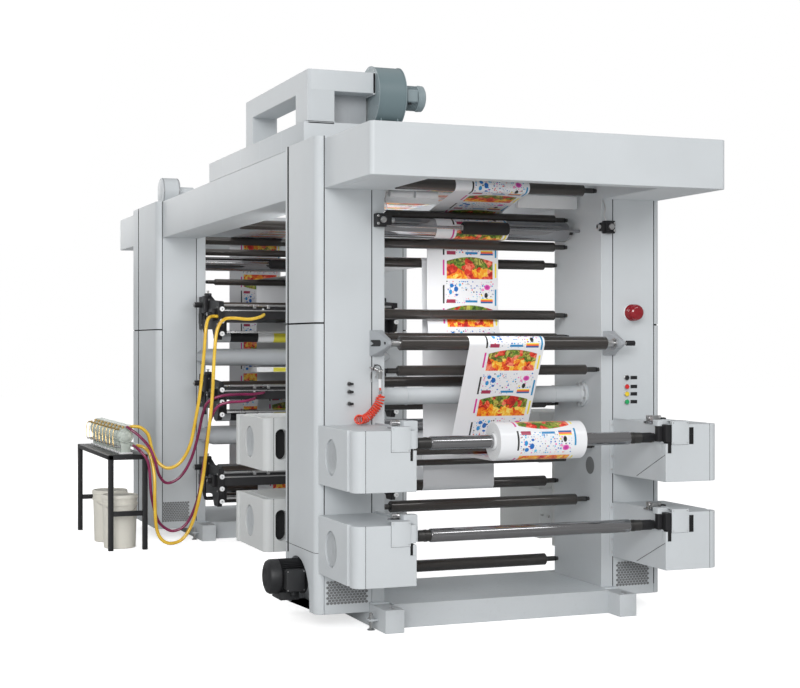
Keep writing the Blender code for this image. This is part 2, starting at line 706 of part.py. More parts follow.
def exhaust_duct(hood_top, finish):
    """The duct on the hood: a bridge along the left side and one across the front."""
    low, top = hood_top - 0.02, hood_top + DUCT_TOP
    under = top - DUCT_RUN_DEPTH
    left, leg = -DUCT_LEFT, -DUCT_LEFT + DUCT_LEG
    front, back = HOOD_FRONT - GAP, HOOD_FRONT + DUCT_LENGTH
    side_run = [
        (front, low), (front, top), (back, top), (back, low),
        (back - DUCT_LEG, low), (back - DUCT_LEG, under),
        (front + DUCT_THICKNESS, under), (front + DUCT_THICKNESS, low),
    ]
    side_run = [(y + GAP * 2, z) for y, z in side_run]
    return (
        prism("duct_side", side_run, "X", left, leg, finish),
        block("duct_front", (leg - 0.02, leg + DUCT_REACH - DUCT_LEG),
              (front + 2 * GAP, front + DUCT_THICKNESS), (under, top), finish),
    )


def make_fan(finishes):
    """The blower at the end of the duct: scroll casing, pedestal, motor and its cable."""
    grey = finishes["fan"]
    face = -DUCT_LEFT + DUCT_REACH + GAP
    hood_top = COLUMN_TOP + GAP + HOOD_HEIGHT
    y = HOOD_FRONT + DUCT_THICKNESS / 2
    z = hood_top + FAN_AXIS_UP + 0.03
    right = face + FAN_WIDTH
    scroll = [
        (y + FAN_RADIUS * (0.86 + 0.14 * t) * math.cos(a), z + FAN_RADIUS * (0.86 + 0.14 * t) * math.sin(a))
        for t, a in ((i / 23, math.radians(-90 + 360 * i / 24)) for i in range(24))
    ]
    fan = prism("exhaust_fan", scroll, "X", face, right, grey)
    foot = block("fan_foot", (face + 0.03, right - 0.03), (y - 0.13, y + 0.13), (hood_top + GAP, z), grey)
    motor = turned(
        "fan_motor",
        (
            (right - 0.01, FAN_MOTOR_RADIUS * 1.25),
            (right + 0.012, FAN_MOTOR_RADIUS * 1.25),
            (right + 0.012, FAN_MOTOR_RADIUS),
            (right + FAN_MOTOR_LENGTH * 0.8, FAN_MOTOR_RADIUS),
            (right + FAN_MOTOR_LENGTH, FAN_MOTOR_RADIUS * 0.75),
        ),
        y, z, grey,
    )
    box_y = (y - FAN_MOTOR_RADIUS - 0.03, y - FAN_MOTOR_RADIUS + 0.02)
    terminal = block("fan_terminal", (right + 0.04, right + 0.10), box_y, (z - 0.03, z + 0.03), grey)
    join(fan, foot, motor, terminal)


def make_bases(finishes):
    """Floor frames: two long blocks, a cross beam in front and a platform plate between them."""
    paint = finishes["paint"]
    rear_shift = REAR_BASE_START
    for name, shift, depth in (
        ("front_base", 0.0, FRONT_DEPTH),
        ("rear_base", rear_shift, REAR_START + REAR_DEPTH - rear_shift),
    ):
        front, back = shift - BLOCK_REACH, shift + depth + BLOCK_BACK
        beam_front = shift - BASE_BEAM_FRONT
        inner = BLOCK_INNER + 0.01
        base = block(name, (-inner, inner), (beam_front, beam_front + BASE_BEAM_DEPTH),
                     (0.0, BASE_BEAM_HEIGHT), paint)
        deck = block(name + "_deck", (-inner, inner), (beam_front + 0.02, back - 0.05),
                     (BASE_BEAM_HEIGHT - PLATFORM_THICKNESS, BASE_BEAM_HEIGHT), paint)
        pieces = [deck]
        for side in (-1, 1):
            x = side_pair(side, BLOCK_INNER, BLOCK_OUTER)
            pieces.append(block(f"{name}_block_{side}", x, (front, back), (0.0, BLOCK_HEIGHT), paint))
            pad = side_pair(side, BLOCK_INNER + 0.004, BLOCK_OUTER - 0.004)
            top = (BLOCK_HEIGHT - 0.01, BASE_BEAM_HEIGHT)
            pieces.append(block(f"{name}_pad_{side}", pad, (shift - 0.05, shift + depth + 0.02), top, paint))
            pieces += levelling_bolt(name, side, shift - 0.12, paint)
            pieces += levelling_bolt(name + "_back", side, back - 0.06, paint)
        join(base, *pieces)


def levelling_bolt(name, side, y, finish):
    """A lug on the block's outer side with a bolt that stands on the floor."""
    x = side_pair(side, BLOCK_OUTER - 0.01, BLOCK_OUTER + BOLT_REACH)
    lug = block(f"{name}_lug_{side}", x, (y - 0.03, y + 0.03), (0.055, 0.055 + BOLT_PLATE), finish)
    center = (side * (BLOCK_OUTER + BOLT_REACH * 0.6), y)
    bolt = drum(f"{name}_bolt_{side}", "Z", center, BOLT_RADIUS, 0.0, 0.105, finish, 10)
    return lug, bolt


def arm_inner(side):
    """Where an arm's inner face is; the right arms are slid out along their rail."""
    return ARM_INNER + (RIGHT_ARM_SLIDE if side > 0 else 0.0)


def arm_plan(side):
    """Plan of a winding arm, rounded at its outer front corner, with a soft groove near it."""
    c = ARM_CORNER
    inner = arm_inner(side)
    outer = inner + ARM_WIDTH
    points = [(inner, -GAP), (inner, -ARM_REACH)]
    points += corner_arc((outer - c, -ARM_REACH + c), c, -90, 0, 5)
    groove = corner_arc((outer + ARM_GROOVE_RADIUS * 0.4, -ARM_GROOVE_Y), ARM_GROOVE_RADIUS, -114, -246, 4)
    points += groove
    points.append((outer, -GAP))
    return [(side * x, y) for x, y in points]


def make_winding_arms(finishes):
    """Four arms in front, each with a dial recess outside, a notch for the chuck with its cover plate
    and cap, and a latch on top."""
    paint = finishes["paint"]
    for level, bottom, shaft_z in zip(("lower", "upper"), ARM_BOTTOMS, REEL_HEIGHTS):
        top = bottom + ARM_HEIGHT
        for word, side in (("left", -1), ("right", 1)):
            name = f"{level}_{word}_winding_arm"
            arm = prism(name, arm_plan(side), "Z", bottom, top, paint)
            inner = arm_inner(side)
            outer = inner + ARM_WIDTH
            dial_x = side_pair(side, outer - DIAL_DEPTH, outer + 0.02)
            dial = drum(name + "_dial", "X", (-DIAL_Y, bottom + ARM_HEIGHT / 2), DIAL_RADIUS, *dial_x, paint, 28)
            cut(arm, dial)
            notch_width, notch_depth = CHUCK_NOTCH
            notch = block(
                name + "_notch",
                side_pair(side, inner - 0.02, inner + notch_width),
                (-ARM_REACH - 0.02, -ARM_REACH + notch_depth),
                (shaft_z - CHUCK_NOTCH_DROP, top + 0.02),
                paint,
            )
            cut(arm, notch)
            width, height = CHUCK_PLATE
            cover = block(
                name + "_cover",
                side_pair(side, inner + notch_width, inner + notch_width + width),
                (-ARM_REACH - CHUCK_PLATE_THICKNESS, -ARM_REACH + 0.004),
                (top + CHUCK_PLATE_RISE - height, top + CHUCK_PLATE_RISE),
                paint,
            )
            width, depth = CHUCK_CAP
            cap_x = inner - CHUCK_CAP_REACH
            front = -ARM_REACH + notch_depth
            cap = block(
                name + "_cap",
                side_pair(side, cap_x, cap_x + width),
                (front, front + depth),
                (top - 0.012, top + CHUCK_CAP_RISE),
                paint,
            )
            width, depth = LATCH
            latch = block(
                name + "_latch",
                side_pair(side, inner + LATCH_IN, inner + LATCH_IN + width),
                (REEL_Y, REEL_Y + depth),
                (top - 0.01, top + LATCH_HEIGHT),
                paint,
            )
            join(arm, cover, cap, latch)


def pod_plan(side):
    """Plan of an unwinding housing, rounded at its outer front corner, with an end plate."""
    c = POD_CORNER
    inner = CHEEK_INNER + CHEEK_THICKNESS / 2
    points = [(inner, CHEEK_BACK), (inner, POD_FRONT)]
    points += corner_arc((POD_OUTER - c, POD_FRONT + c), c, -90, 0, 5)
    points += [
        (POD_OUTER, CHEEK_BACK - POD_END - 0.012),
        (POD_OUTER - 0.008, CHEEK_BACK - POD_END - 0.012),
        (POD_OUTER - 0.008, CHEEK_BACK - POD_END),
        (POD_OUTER + 0.012, CHEEK_BACK - POD_END),
        (POD_OUTER + 0.012, CHEEK_BACK),
    ]
    return [(side * x, y) for x, y in points]


def make_unwind_carriers(finishes):
    """On each side, two housings on a cheek plate that is bolted to the front column's back."""
    cream = finishes["cream"]
    for word, side in (("left", -1), ("right", 1)):
        name = f"{word}_unwind_carrier"
        start = FRONT_DEPTH + GAP
        low, high = ARM_BOTTOMS[0] - 0.02, ARM_BOTTOMS[1] + ARM_HEIGHT
        strap = (start, start + CHEEK_STRAP)
        x = side_pair(side, CHEEK_INNER, CHEEK_INNER + CHEEK_THICKNESS)
        cheek = block(name, x, strap, (low, high), cream)
        pieces = []
        for i, bottom in enumerate(ARM_BOTTOMS):
            top = bottom + ARM_HEIGHT
            pieces.append(block(f"{name}_arm_{i}", x, (start + 0.02, CHEEK_BACK), (bottom, top), cream))
            pieces.append(prism(f"{name}_pod_{i}", pod_plan(side), "Z", bottom, top, cream))
        join(cheek, *pieces)
        for i, bottom in enumerate(ARM_BOTTOMS):
            slot_x = side_pair(side, POD_OUTER - 0.235, POD_OUTER - 0.145)
            middle = bottom + ARM_HEIGHT / 2
            slot = block(f"{name}_slot_{i}", slot_x, (POD_FRONT - 0.02, POD_FRONT + 0.06),
                         (middle - 0.11, middle + 0.11), cream)
            dial_x = side_pair(side, POD_OUTER - DIAL_DEPTH, POD_OUTER + 0.03)
            center = ((POD_FRONT + CHEEK_BACK) / 2 + 0.03, middle)
            dial = drum(f"{name}_dial_{i}", "X", center, DIAL_RADIUS, *dial_x, cream, 28)
            cut(cheek, slot, dial)


def roller_steps(radius, half=INNER_HALF - GAP, end_gap=ROLLER_END_GAP, journal=JOURNAL_RADIUS):
    """Profile of a roller: thin journals, chamfered ends and a plain face."""
    face, chamfer = half - end_gap, ROLLER_CHAMFER
    return (
        (-half, journal), (-face, journal), (-face, radius - chamfer), (-face + chamfer, radius),
        (face - chamfer, radius), (face, radius - chamfer), (face, journal), (half, journal),
    )


def make_rollers(finishes):
    """Every guide roller, the driven drum, the rubber nip and the front roller."""
    dark = finishes["dark"]
    for name, y, z, radius in FRONT_ROLLERS + REAR_ROLLERS:
        turned(name, roller_steps(radius), y, z, dark)
    name, y, z, radius = LONG_RUN_ROLLER
    turned(name, roller_steps(radius, BEAM_INNER - GAP), y, z, dark)
    turned("drive_roller", roller_steps(DRIVE_RADIUS, end_gap=0.045), DRIVE_Y, DRIVE_Z, finishes["steel"], 24)
    half, rod, radius = INNER_HALF - GAP, NIP_ROD_RADIUS, NIP_RADIUS
    nip = (
        (-half, rod), (NIP_LEFT - 0.012, rod), (NIP_LEFT - 0.012, rod * 1.8), (NIP_LEFT, rod * 1.8),
        (NIP_LEFT, radius - 0.005), (NIP_LEFT + 0.005, radius),
        (NIP_RIGHT - 0.005, radius), (NIP_RIGHT, radius - 0.005),
        (NIP_RIGHT, rod * 1.8), (NIP_RIGHT + 0.012, rod * 1.8), (NIP_RIGHT + 0.012, rod), (half, rod),
    )
    turned("nip_roller", nip, nip_y(), DRIVE_Z, finishes["rubber"])
    front = roller_steps(FRONT_ROLLER_RADIUS, BRACKET_INNER - GAP, 0.070, 0.020)
    turned("front_roller", front, FRONT_ROLLER_Y, FRONT_ROLLER_Z, dark)


def nip_y():
    """The nip roller stands off the drum by the web that runs between them."""
    return DRIVE_Y - DRIVE_RADIUS - NIP_RADIUS - 2 * WEB_CLEARANCE - WEB_THICKNESS


def make_tie_tube(finishes):
    """The light tube that ties the front columns, with a flange at each wall and two bands."""
    half = INNER_HALF - GAP
    flange = half - TIE_FLANGE_THICKNESS
    steps = [(-half, TIE_FLANGE_RADIUS), (-flange, TIE_FLANGE_RADIUS), (-flange, TIE_RADIUS)]
    for x in (-0.5, 0.52):
        steps += [(x - 0.004, TIE_RADIUS), (x - 0.004, TIE_BAND_RADIUS)]
        steps += [(x + 0.004, TIE_BAND_RADIUS), (x + 0.004, TIE_RADIUS)]
    steps += [(flange, TIE_RADIUS), (flange, TIE_FLANGE_RADIUS), (half, TIE_FLANGE_RADIUS)]
    turned("tie_tube", steps, TIE_Y, TIE_Z, finishes["paint"], 20)


def reel_steps(half, slide=0.0):
    """Profile of a reel bar: chucks at the ends, necks and the thick bar between them.

    The right chuck is longer by the slide of the arm that holds it.
    """
    neck = half - CHUCK_LENGTH
    bar = neck - NECK_LENGTH
    return (
        (-half, CHUCK_RADIUS), (-neck, CHUCK_RADIUS), (-neck, NECK_RADIUS), (-bar, NECK_RADIUS),
        (-bar, SHAFT_RADIUS - 0.004), (-bar + 0.004, SHAFT_RADIUS),
        (bar - 0.004, SHAFT_RADIUS), (bar, SHAFT_RADIUS - 0.004),
        (bar, NECK_RADIUS), (neck, NECK_RADIUS), (neck, CHUCK_RADIUS), (half + slide, CHUCK_RADIUS),
    )


def make_reels(finishes):
    """The winding bars in front, the unwinding bar behind, and the roll of film on one bar."""
    steel = finishes["steel"]
    low, high = REEL_HEIGHTS
    turned("lower_winding_shaft", reel_steps(ARM_INNER - GAP, RIGHT_ARM_SLIDE), REEL_Y, low, steel, 20)
    turned("upper_winding_shaft", reel_steps(ARM_INNER - GAP, RIGHT_ARM_SLIDE), REEL_Y, high, steel, 20)
    turned("unwind_shaft", reel_steps(CHEEK_INNER - GAP), UNWIND_Y, high, steel, 20)
    hole = SHAFT_RADIUS + GAP
    outer = circle(ROLL_RADIUS, 32)
    rings = []
    for x, radius in (
        (ROLL_LEFT, hole), (ROLL_LEFT - 0.010, hole), (ROLL_LEFT - 0.010, CORE_RADIUS),
        (ROLL_LEFT, CORE_RADIUS), (ROLL_LEFT, ROLL_RADIUS), (ROLL_RIGHT, ROLL_RADIUS),
        (ROLL_RIGHT, CORE_RADIUS), (ROLL_RIGHT + 0.010, CORE_RADIUS), (ROLL_RIGHT + 0.010, hole),
    ):
        rings.append(spread(circle(radius, len(outer)), "X", x))
    ring_body("film_roll", rings, finishes["film"], (0.0, REEL_Y, high))


def ring_body(name, rings, finish, place):
    """A closed body of revolution with a bore: the last ring joins the first one."""
    mesh = bpy.data.meshes.new(name)
    body = bmesh.new()
    count = len(rings[0])
    layers = [[body.verts.new(point) for point in ring] for ring in rings]
    for low, high in zip(layers, layers[1:] + layers[:1]):
        for i in range(count):
            j = (i + 1) % count
            body.faces.new((low[i], low[j], high[j], high[i]))
    bmesh.ops.recalc_face_normals(body, faces=body.faces)
    body.to_mesh(mesh)
    body.free()
    mesh.materials.append(finish)
    made = bpy.data.objects.new(name, mesh)
    made.location = place
    bpy.context.scene.collection.objects.link(made)
    made.data.shade_smooth()
    made.data.set_sharp_from_angle(angle=math.radians(35))
    return made


def tangent(first, second):
    """Where a straight run leaves one circle and meets the next.

    A circle is (y, z, radius, turn): turn is 1 where the web goes round it anticlockwise, seen with
    Y to the right and Z up, and -1 where it goes clockwise.
    """
    start, end = np.array(first[:2]), np.array(second[:2])
    signed = first[2] * first[3] - second[2] * second[3]
    gap = end - start
    length = float(np.hypot(*gap))
    along = gap / length
    across = np.array((along[1], -along[0]))
    lean = signed / length
    normal = along * lean + across * math.sqrt(1 - lean * lean)
    return start + normal * first[2] * first[3], end + normal * second[2] * second[3]


def web_line(circles):
    """The middle line of the web: straight runs tangent to each roller, and arcs round them."""
    runs = [tangent(a, b) for a, b in zip(circles, circles[1:])]
    points = [runs[0][0]]
    for (_, arrive), (leave, _), roller in zip(runs, runs[1:], circles[1:-1]):
        middle, turn = np.array(roller[:2]), roller[3]
        low = math.atan2(*(arrive - middle)[::-1])
        high = math.atan2(*(leave - middle)[::-1])
        swing = (high - low) % (2 * math.pi) if turn > 0 else -((low - high) % (2 * math.pi))
        steps = max(1, math.ceil(abs(swing) / math.radians(24)))
        for angle in low + swing * np.arange(steps + 1) / steps:
            points.append(middle + roller[2] * np.array((math.cos(angle), math.sin(angle))))
    points.append(runs[-1][1])
    return np.array(points)


def strip(line, thickness):
    """A line thickened by the same amount to both sides, as a closed outline."""
    ahead = np.gradient(line, axis=0)
    ahead /= np.linalg.norm(ahead, axis=1)[:, None]
    across = np.stack((-ahead[:, 1], ahead[:, 0]), axis=1) * thickness / 2
    return np.concatenate((line + across, (line - across)[::-1]))


def web_rollers():
    """The rollers that the web meets in order, each with the way that it turns."""
    places = {name: (y, z, r) for name, y, z, r in FRONT_ROLLERS + REAR_ROLLERS + (LONG_RUN_ROLLER,)}
    places["drive_roller"] = (DRIVE_Y, DRIVE_Z, DRIVE_RADIUS)
    places["front_roller"] = (FRONT_ROLLER_Y, FRONT_ROLLER_Z, FRONT_ROLLER_RADIUS)
    places["unwind"] = (UNWIND_Y, REEL_HEIGHTS[1], SHAFT_RADIUS)
    places["roll"] = (REEL_Y, REEL_HEIGHTS[1], ROLL_RADIUS)
    order = (
        ("unwind", -1), ("entry_guide_roller", -1), ("middle_guide_roller", -1),
        ("feed_guide_roller", -1), ("rear_entry_roller", -1),
        ("rear_lower_roller", 1), ("rear_return_roller", 1), ("rear_top_roller", 1),
        ("long_run_roller", 1), ("canopy_roller", 1), ("upper_guide_roller", -1), ("drive_roller", 1),
        ("draw_guide_roller", -1), ("drop_guide_roller", -1), ("turning_roller", -1), ("front_roller", 1), ("lay_roller", -1),
        ("roll", -1),
    )
    away = WEB_CLEARANCE + WEB_THICKNESS / 2
    return [(*places[name][:2], places[name][2] + away, turn) for name, turn in order]


def make_web(finishes):
    """The film, from the unwinding bar through both frames to the roll in front."""
    line = web_line(web_rollers())
    outline = [tuple(point) for point in strip(line, WEB_THICKNESS)]
    prism("film_web", outline, "X", WEB_LEFT, WEB_RIGHT, finishes["film"])


def deck_outline(z):
    """Side view of a printing station's cheek plate."""
    back = REAR_START - GAP
    front = REAR_START - DECK_REACH
    chin, keel, heel = (front + reach for reach in DECK_BELLY)
    return [
        (back, z + DECK_RISE), (back - DECK_SHELF[0], z + DECK_RISE), (back - DECK_SHELF[1], z + DECK_SHELF_RISE),
        (front, z + DECK_NOSE_RISE), (front, z - DECK_NOSE_DROP), (chin, z - DECK_BELLY_DROP),
        (keel, z - DECK_BELLY_DROP), (heel, z - DECK_FLOOR_DROP), (back, z - DECK_FLOOR_DROP),
    ]


def make_stations(finishes):
    """Three printing stations: cheeks with beam, knobs and dryer, and the plate cylinder between."""
    black = finishes["black"]
    inner, outer = DECK_INNER, DECK_INNER + DECK_THICKNESS
    front = REAR_START - DECK_REACH
    for i, (word, z) in enumerate(zip(STATION_NAMES, STATION_HEIGHTS)):
        name = f"{word}_print_deck"
        deck = block(name, (-inner - 0.01, inner + 0.01), (front + 0.05, front + 0.05 + DECK_BEAM_DEPTH),
                     (z - DECK_BEAM_HEIGHT, z), black)
        pieces = []
        for side in (-1, 1):
            x = side_pair(side, inner, outer)
            pieces.append(prism(f"{name}_cheek_{side}", deck_outline(z), "X", *x, black))
            for j, drop in enumerate((0.035, 0.135, 0.240)):
                center = (side * (inner + DECK_THICKNESS / 2), z - drop)
                knob = drum(f"{name}_knob_{side}_{j}", "Y", center, KNOB_RADIUS,
                            front - KNOB_REACH, front + 0.09, black, 12)
                pieces.append(knob)
            rod_x = side_pair(side, outer - 0.01, outer + 0.10)
            pieces.append(drum(f"{name}_rod_{side}", "X", (REAR_START - 0.20, z + 0.01), 0.016, *rod_x, black, 10))
        if i < 2:
            pieces += dryer(name, z, black)
        join(deck, *pieces)
        half = inner - GAP
        turned(f"{word}_plate_cylinder", (
            (-half, 0.030), (-PLATE_BODY_HALF, 0.030), (-PLATE_BODY_HALF, PLATE_RADIUS),
            (PLATE_BODY_HALF, PLATE_RADIUS), (PLATE_BODY_HALF, 0.030), (half, 0.030),
        ), plate_y(), z - PLATE_DROP, finishes["plate"], 24)


def plate_y():
    """The plate cylinder stands clear of the web that runs down the front of the rear frame."""
    entry = REAR_ROLLERS[0]
    lower = REAR_ROLLERS[1]
    web_front = min(entry[1] - entry[3], lower[1] - lower[3])
    return web_front - PLATE_RADIUS - 0.012


def dryer(name, z, finish):
    """A round-nosed hood under a station, hung from two posts behind its cheeks."""
    half = DRYER_HALF_HEIGHT
    center = z - DRYER_DROP
    front, back = REAR_START - DRYER_FRONT, REAR_START - DRYER_BACK
    nose = corner_arc((front + half, center), half, 90, 270, 8)
    shape = nose + [(back, center - half), (back, center + half)]
    reach = DECK_INNER + DECK_THICKNESS + DRYER_OVERHANG
    pieces = [prism(f"{name}_dryer", shape, "X", -reach, reach, finish)]
    for side in (-1, 1):
        x = side_pair(side, DECK_INNER, DECK_INNER + DECK_THICKNESS)
        y = (REAR_START - 0.16, REAR_START - 0.10)
        pieces.append(block(f"{name}_post_{side}", x, y, (center, z - 0.19), finish))
    return pieces


def make_motor(finishes):
    """The drive motor at the foot of the left column: bells, ribs, flange, foot and terminal box."""
    right = -INNER_HALF - COLUMN_WIDTH + MOTOR_ARCH_DEPTH - GAP
    r = MOTOR_RADIUS
    steps = [(MOTOR_LEFT, r * 0.72), (MOTOR_LEFT + 0.02, r * 0.94), (MOTOR_LEFT + 0.075, r)]
    x = MOTOR_LEFT + 0.085
    while x + 0.020 < right - MOTOR_FLANGE:
        steps += [(x, r), (x, r * 0.90), (x + 0.010, r * 0.90), (x + 0.010, r)]
        x += 0.024
    steps += [
        (right - MOTOR_FLANGE, r), (right - MOTOR_FLANGE, r * 1.05),
        (right - MOTOR_FLANGE + 0.02, r * 1.05), (right - MOTOR_FLANGE + 0.02, r * 0.55), (right, r * 0.55),
    ]
    motor = turned("drive_motor", steps, MOTOR_Y, MOTOR_Z, finishes["black"], 24)
    foot_x = (MOTOR_LEFT + 0.07, MOTOR_LEFT + 0.19)
    foot = block("motor_foot", foot_x, (MOTOR_Y - 0.09, MOTOR_Y + 0.09),
                 (MOTOR_Z - MOTOR_FOOT_DROP, MOTOR_Z - 0.05), finishes["black"])
    box = block("motor_terminals", (MOTOR_LEFT + 0.085, MOTOR_LEFT + 0.200), (MOTOR_Y - 0.185, MOTOR_Y - 0.05),
                (MOTOR_Z - 0.14, MOTOR_Z + 0.06), finishes["black"])
    join(motor, foot, box)


def make_beacon(finishes):
    """A red dome lamp that stands out from the right column's front."""
    r = BEACON_RADIUS
    rings = [(-GAP, r * 1.06), (-0.022, r * 1.06), (-0.022, r), (-0.075, r * 0.96)]
    rings += [(-0.075 - r * 0.5 * math.sin(a), r * 0.96 * math.cos(a)) for a in np.radians((25, 50, 72))]
    places = [[(BEACON_X + px, y, BEACON_Z + pz) for px, pz in circle(radius, 20)] for y, radius in rings]
    lamp = object_from_rings("beacon", places, finishes["red"])
    lamp.data.shade_smooth()
    lamp.data.set_sharp_from_angle(angle=math.radians(35))


def make_ink_stand(finishes):
    """The steel table with its row of pumps on top."""
    black, t = finishes["black"], TABLE_TUBE
    x, y = (TABLE_LEFT, TABLE_RIGHT), (TABLE_FRONT, TABLE_BACK)
    stand = block("ink_stand", x, y, (TABLE_HEIGHT - t, TABLE_HEIGHT), black)
    pieces = []
    for i, leg_x in enumerate((x[0], x[1] - t)):
        for j, leg_y in enumerate((y[0], y[1] - t)):
            leg = block(f"stand_leg_{i}{j}", (leg_x, leg_x + t), (leg_y, leg_y + t), (0.0, TABLE_HEIGHT - 0.01), black)
            pieces.append(leg)
    for j, rail_y in enumerate((y[0], y[1] - t)):
        rail_x = (x[0] + 0.01, x[1] - 0.01)
        rail = (TABLE_RAIL - t, TABLE_RAIL)
        pieces.append(block(f"stand_rail_{j}", rail_x, (rail_y + 0.002, rail_y + t - 0.002), rail, black))
    middle = (x[0] + x[1]) / 2
    axis_z = TABLE_HEIGHT + PUMP_AXIS_UP
    pitch = (TABLE_BACK - TABLE_FRONT - 0.26) / (PUMP_COUNT - 1)
    for i in range(PUMP_COUNT):
        center = TABLE_FRONT + 0.13 + i * pitch
        body = [(px, py) for px, py in circle(PUMP_RADIUS * 1.2, 12, (middle, axis_z))]
        pieces.append(prism(f"pump_{i}", body, "Y", center - 0.045, center + 0.045, black))
        foot_x = (middle - 0.05, middle + 0.05)
        pieces.append(block(f"pump_foot_{i}", foot_x, (center - 0.03, center + 0.03),
                            (TABLE_HEIGHT - 0.01, axis_z), black))
    run = (TABLE_FRONT + 0.075, TABLE_BACK - 0.11)
    for i, z in enumerate((TABLE_HEIGHT + 0.070, axis_z + PUMP_RADIUS + 0.020)):
        header_x = (middle + 0.035, middle + 0.095 + PUMP_CROSS_RUN / 2)
        if i:
            header_x = (middle - PUMP_CROSS_RUN / 2, middle + 0.020 + PUMP_CROSS_RUN)
        pieces.append(block(f"pump_header_{i}", header_x, run, (z - 0.018, z + 0.018), black))
        if i == 0:
            link = block("pump_header_link", (middle, middle + 0.07), run, (z - 0.014, z + 0.014), black)
            pieces.append(link)
    join(stand, *pieces)


def make_pails(finishes):
    """Ink pails under the table, with a lid rim and a slight taper."""
    for i, y in enumerate(PAIL_PLACES):
        r, h = PAIL_RADIUS, PAIL_HEIGHT
        profile = (
            (0.0, r - PAIL_TAPER), (h * 0.80, r - 0.003), (h * 0.80, r + 0.004), (h * 0.84, r + 0.004),
            (h * 0.84, r - 0.002), (h * 0.93, r - 0.002), (h * 0.93, r + 0.006), (h, r + 0.004),
        )
        rings = [[(PAIL_X + px, y + py, z) for px, py in circle(radius, 24)] for z, radius in profile]
        pail = object_from_rings(f"ink_pail_{i + 1}", rings, finishes["pail"])
        pail.data.shade_smooth()
        pail.data.set_sharp_from_angle(angle=math.radians(35))


def smooth_route(points, step):
    """A smooth curve through hand-chosen points, read off at even steps, with a short straight at each end."""
    knots = np.array(points, float)
    ends = [a + (b - a) * HOSE_END / np.linalg.norm(b - a) for a, b in (knots[:2], knots[:-3:-1])]
    knots = np.concatenate((2 * knots[:1] - knots[1:2], knots, 2 * knots[-1:] - knots[-2:-1]))
    fine = []
    for p0, p1, p2, p3 in zip(knots, knots[1:], knots[2:], knots[3:]):
        t = np.linspace(0, 1, 24, endpoint=False)[:, None]
        fine.append(0.5 * (2 * p1 + (p2 - p0) * t + (2 * p0 - 5 * p1 + 4 * p2 - p3) * t**2
                           + (3 * p1 - 3 * p2 + p3 - p0) * t**3))
    fine = np.concatenate(fine + [knots[-2:-1]])
    lengths = np.concatenate(([0.0], np.cumsum(np.linalg.norm(np.diff(fine, axis=0), axis=1))))
    count = max(3, round(lengths[-1] / step))
    at = np.linspace(0, lengths[-1], count + 1)
    even = np.stack([np.interp(at, lengths, fine[:, k]) for k in range(3)], axis=1)
    return np.concatenate((even[:1], ends[:1], even[1:-1], ends[1:], even[-1:]))


def hose(name, route, radius, finish, step=None):
    """A tube along a smooth route, with a point every two and a half diameters unless told otherwise."""
    points = smooth_route(route, step or 5 * radius)
    curve = bpy.data.curves.new(name, "CURVE")
    curve.dimensions = "3D"
    curve.bevel_depth = radius
    curve.bevel_resolution = 2
    curve.use_fill_caps = True
    spline = curve.splines.new("POLY")
    spline.points.add(len(points) - 1)
    for spot, place in zip(spline.points, points):
        spot.co = (*place, 1.0)
    curve.materials.append(finish)
    made = bpy.data.objects.new(name, curve)
    bpy.context.scene.collection.objects.link(made)


def make_hoses(finishes):
    """Ink hoses from the pumps to the stations, and the curly air hose on the left column."""
    hose("upper_yellow_hose", UPPER_YELLOW_ROUTE, YELLOW_RADIUS, finishes["yellow"])
    hose("lower_yellow_hose", LOWER_YELLOW_ROUTE, YELLOW_RADIUS, finishes["yellow"])
    hose("upper_magenta_hose", UPPER_MAGENTA_ROUTE, MAGENTA_RADIUS, finishes["magenta"])
    hose("lower_magenta_hose", LOWER_MAGENTA_ROUTE, MAGENTA_RADIUS, finishes["magenta"])
    hose("curly_air_hose", CURLY_ROUTE, CURLY_RADIUS, finishes["orange"], CURLY_STEP)


def main():
    """Builds the whole press."""
    clear_scene()
    finishes = make_materials()
    make_columns(finishes)
    make_canopies(finishes)
    make_beams(finishes)
    make_fan(finishes)
    make_bases(finishes)
    make_winding_arms(finishes)
    make_unwind_carriers(finishes)
    make_rollers(finishes)
    make_tie_tube(finishes)
    make_reels(finishes)
    make_web(finishes)
    make_stations(finishes)
    make_motor(finishes)
    make_beacon(finishes)
    make_ink_stand(finishes)
    make_pails(finishes)
    make_hoses(finishes)


main()
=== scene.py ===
"""Looks of the flexographic printing press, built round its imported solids."""

import math

import bpy
import numpy as np
from bpy.props import FloatProperty, FloatVectorProperty, PointerProperty
from bpy.types import Operator, Panel, PropertyGroup
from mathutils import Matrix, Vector


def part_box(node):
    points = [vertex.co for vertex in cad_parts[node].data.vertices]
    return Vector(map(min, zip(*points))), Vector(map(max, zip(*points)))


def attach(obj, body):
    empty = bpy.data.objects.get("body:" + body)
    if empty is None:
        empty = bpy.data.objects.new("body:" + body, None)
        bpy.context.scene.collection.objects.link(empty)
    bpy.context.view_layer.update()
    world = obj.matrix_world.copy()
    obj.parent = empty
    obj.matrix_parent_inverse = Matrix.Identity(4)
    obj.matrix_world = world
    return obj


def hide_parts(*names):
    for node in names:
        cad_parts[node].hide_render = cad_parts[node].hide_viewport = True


bl_info = {
    "name": "Flexographic Printing Press",
    "version": (1, 0, 0),
    "blender": (4, 5, 0),
    "location": "3D View > Sidebar > Press",
    "description": "Builds the visible pieces, finishes and studio of a flexographic printing press",
    "category": "Add Mesh",
}

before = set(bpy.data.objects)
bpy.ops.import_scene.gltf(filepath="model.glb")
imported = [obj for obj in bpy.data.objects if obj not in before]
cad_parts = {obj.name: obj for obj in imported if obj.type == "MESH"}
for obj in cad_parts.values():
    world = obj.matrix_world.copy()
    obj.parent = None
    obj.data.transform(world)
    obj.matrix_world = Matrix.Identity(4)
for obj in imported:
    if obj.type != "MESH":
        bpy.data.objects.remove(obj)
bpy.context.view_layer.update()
ROOT = "press_frame"

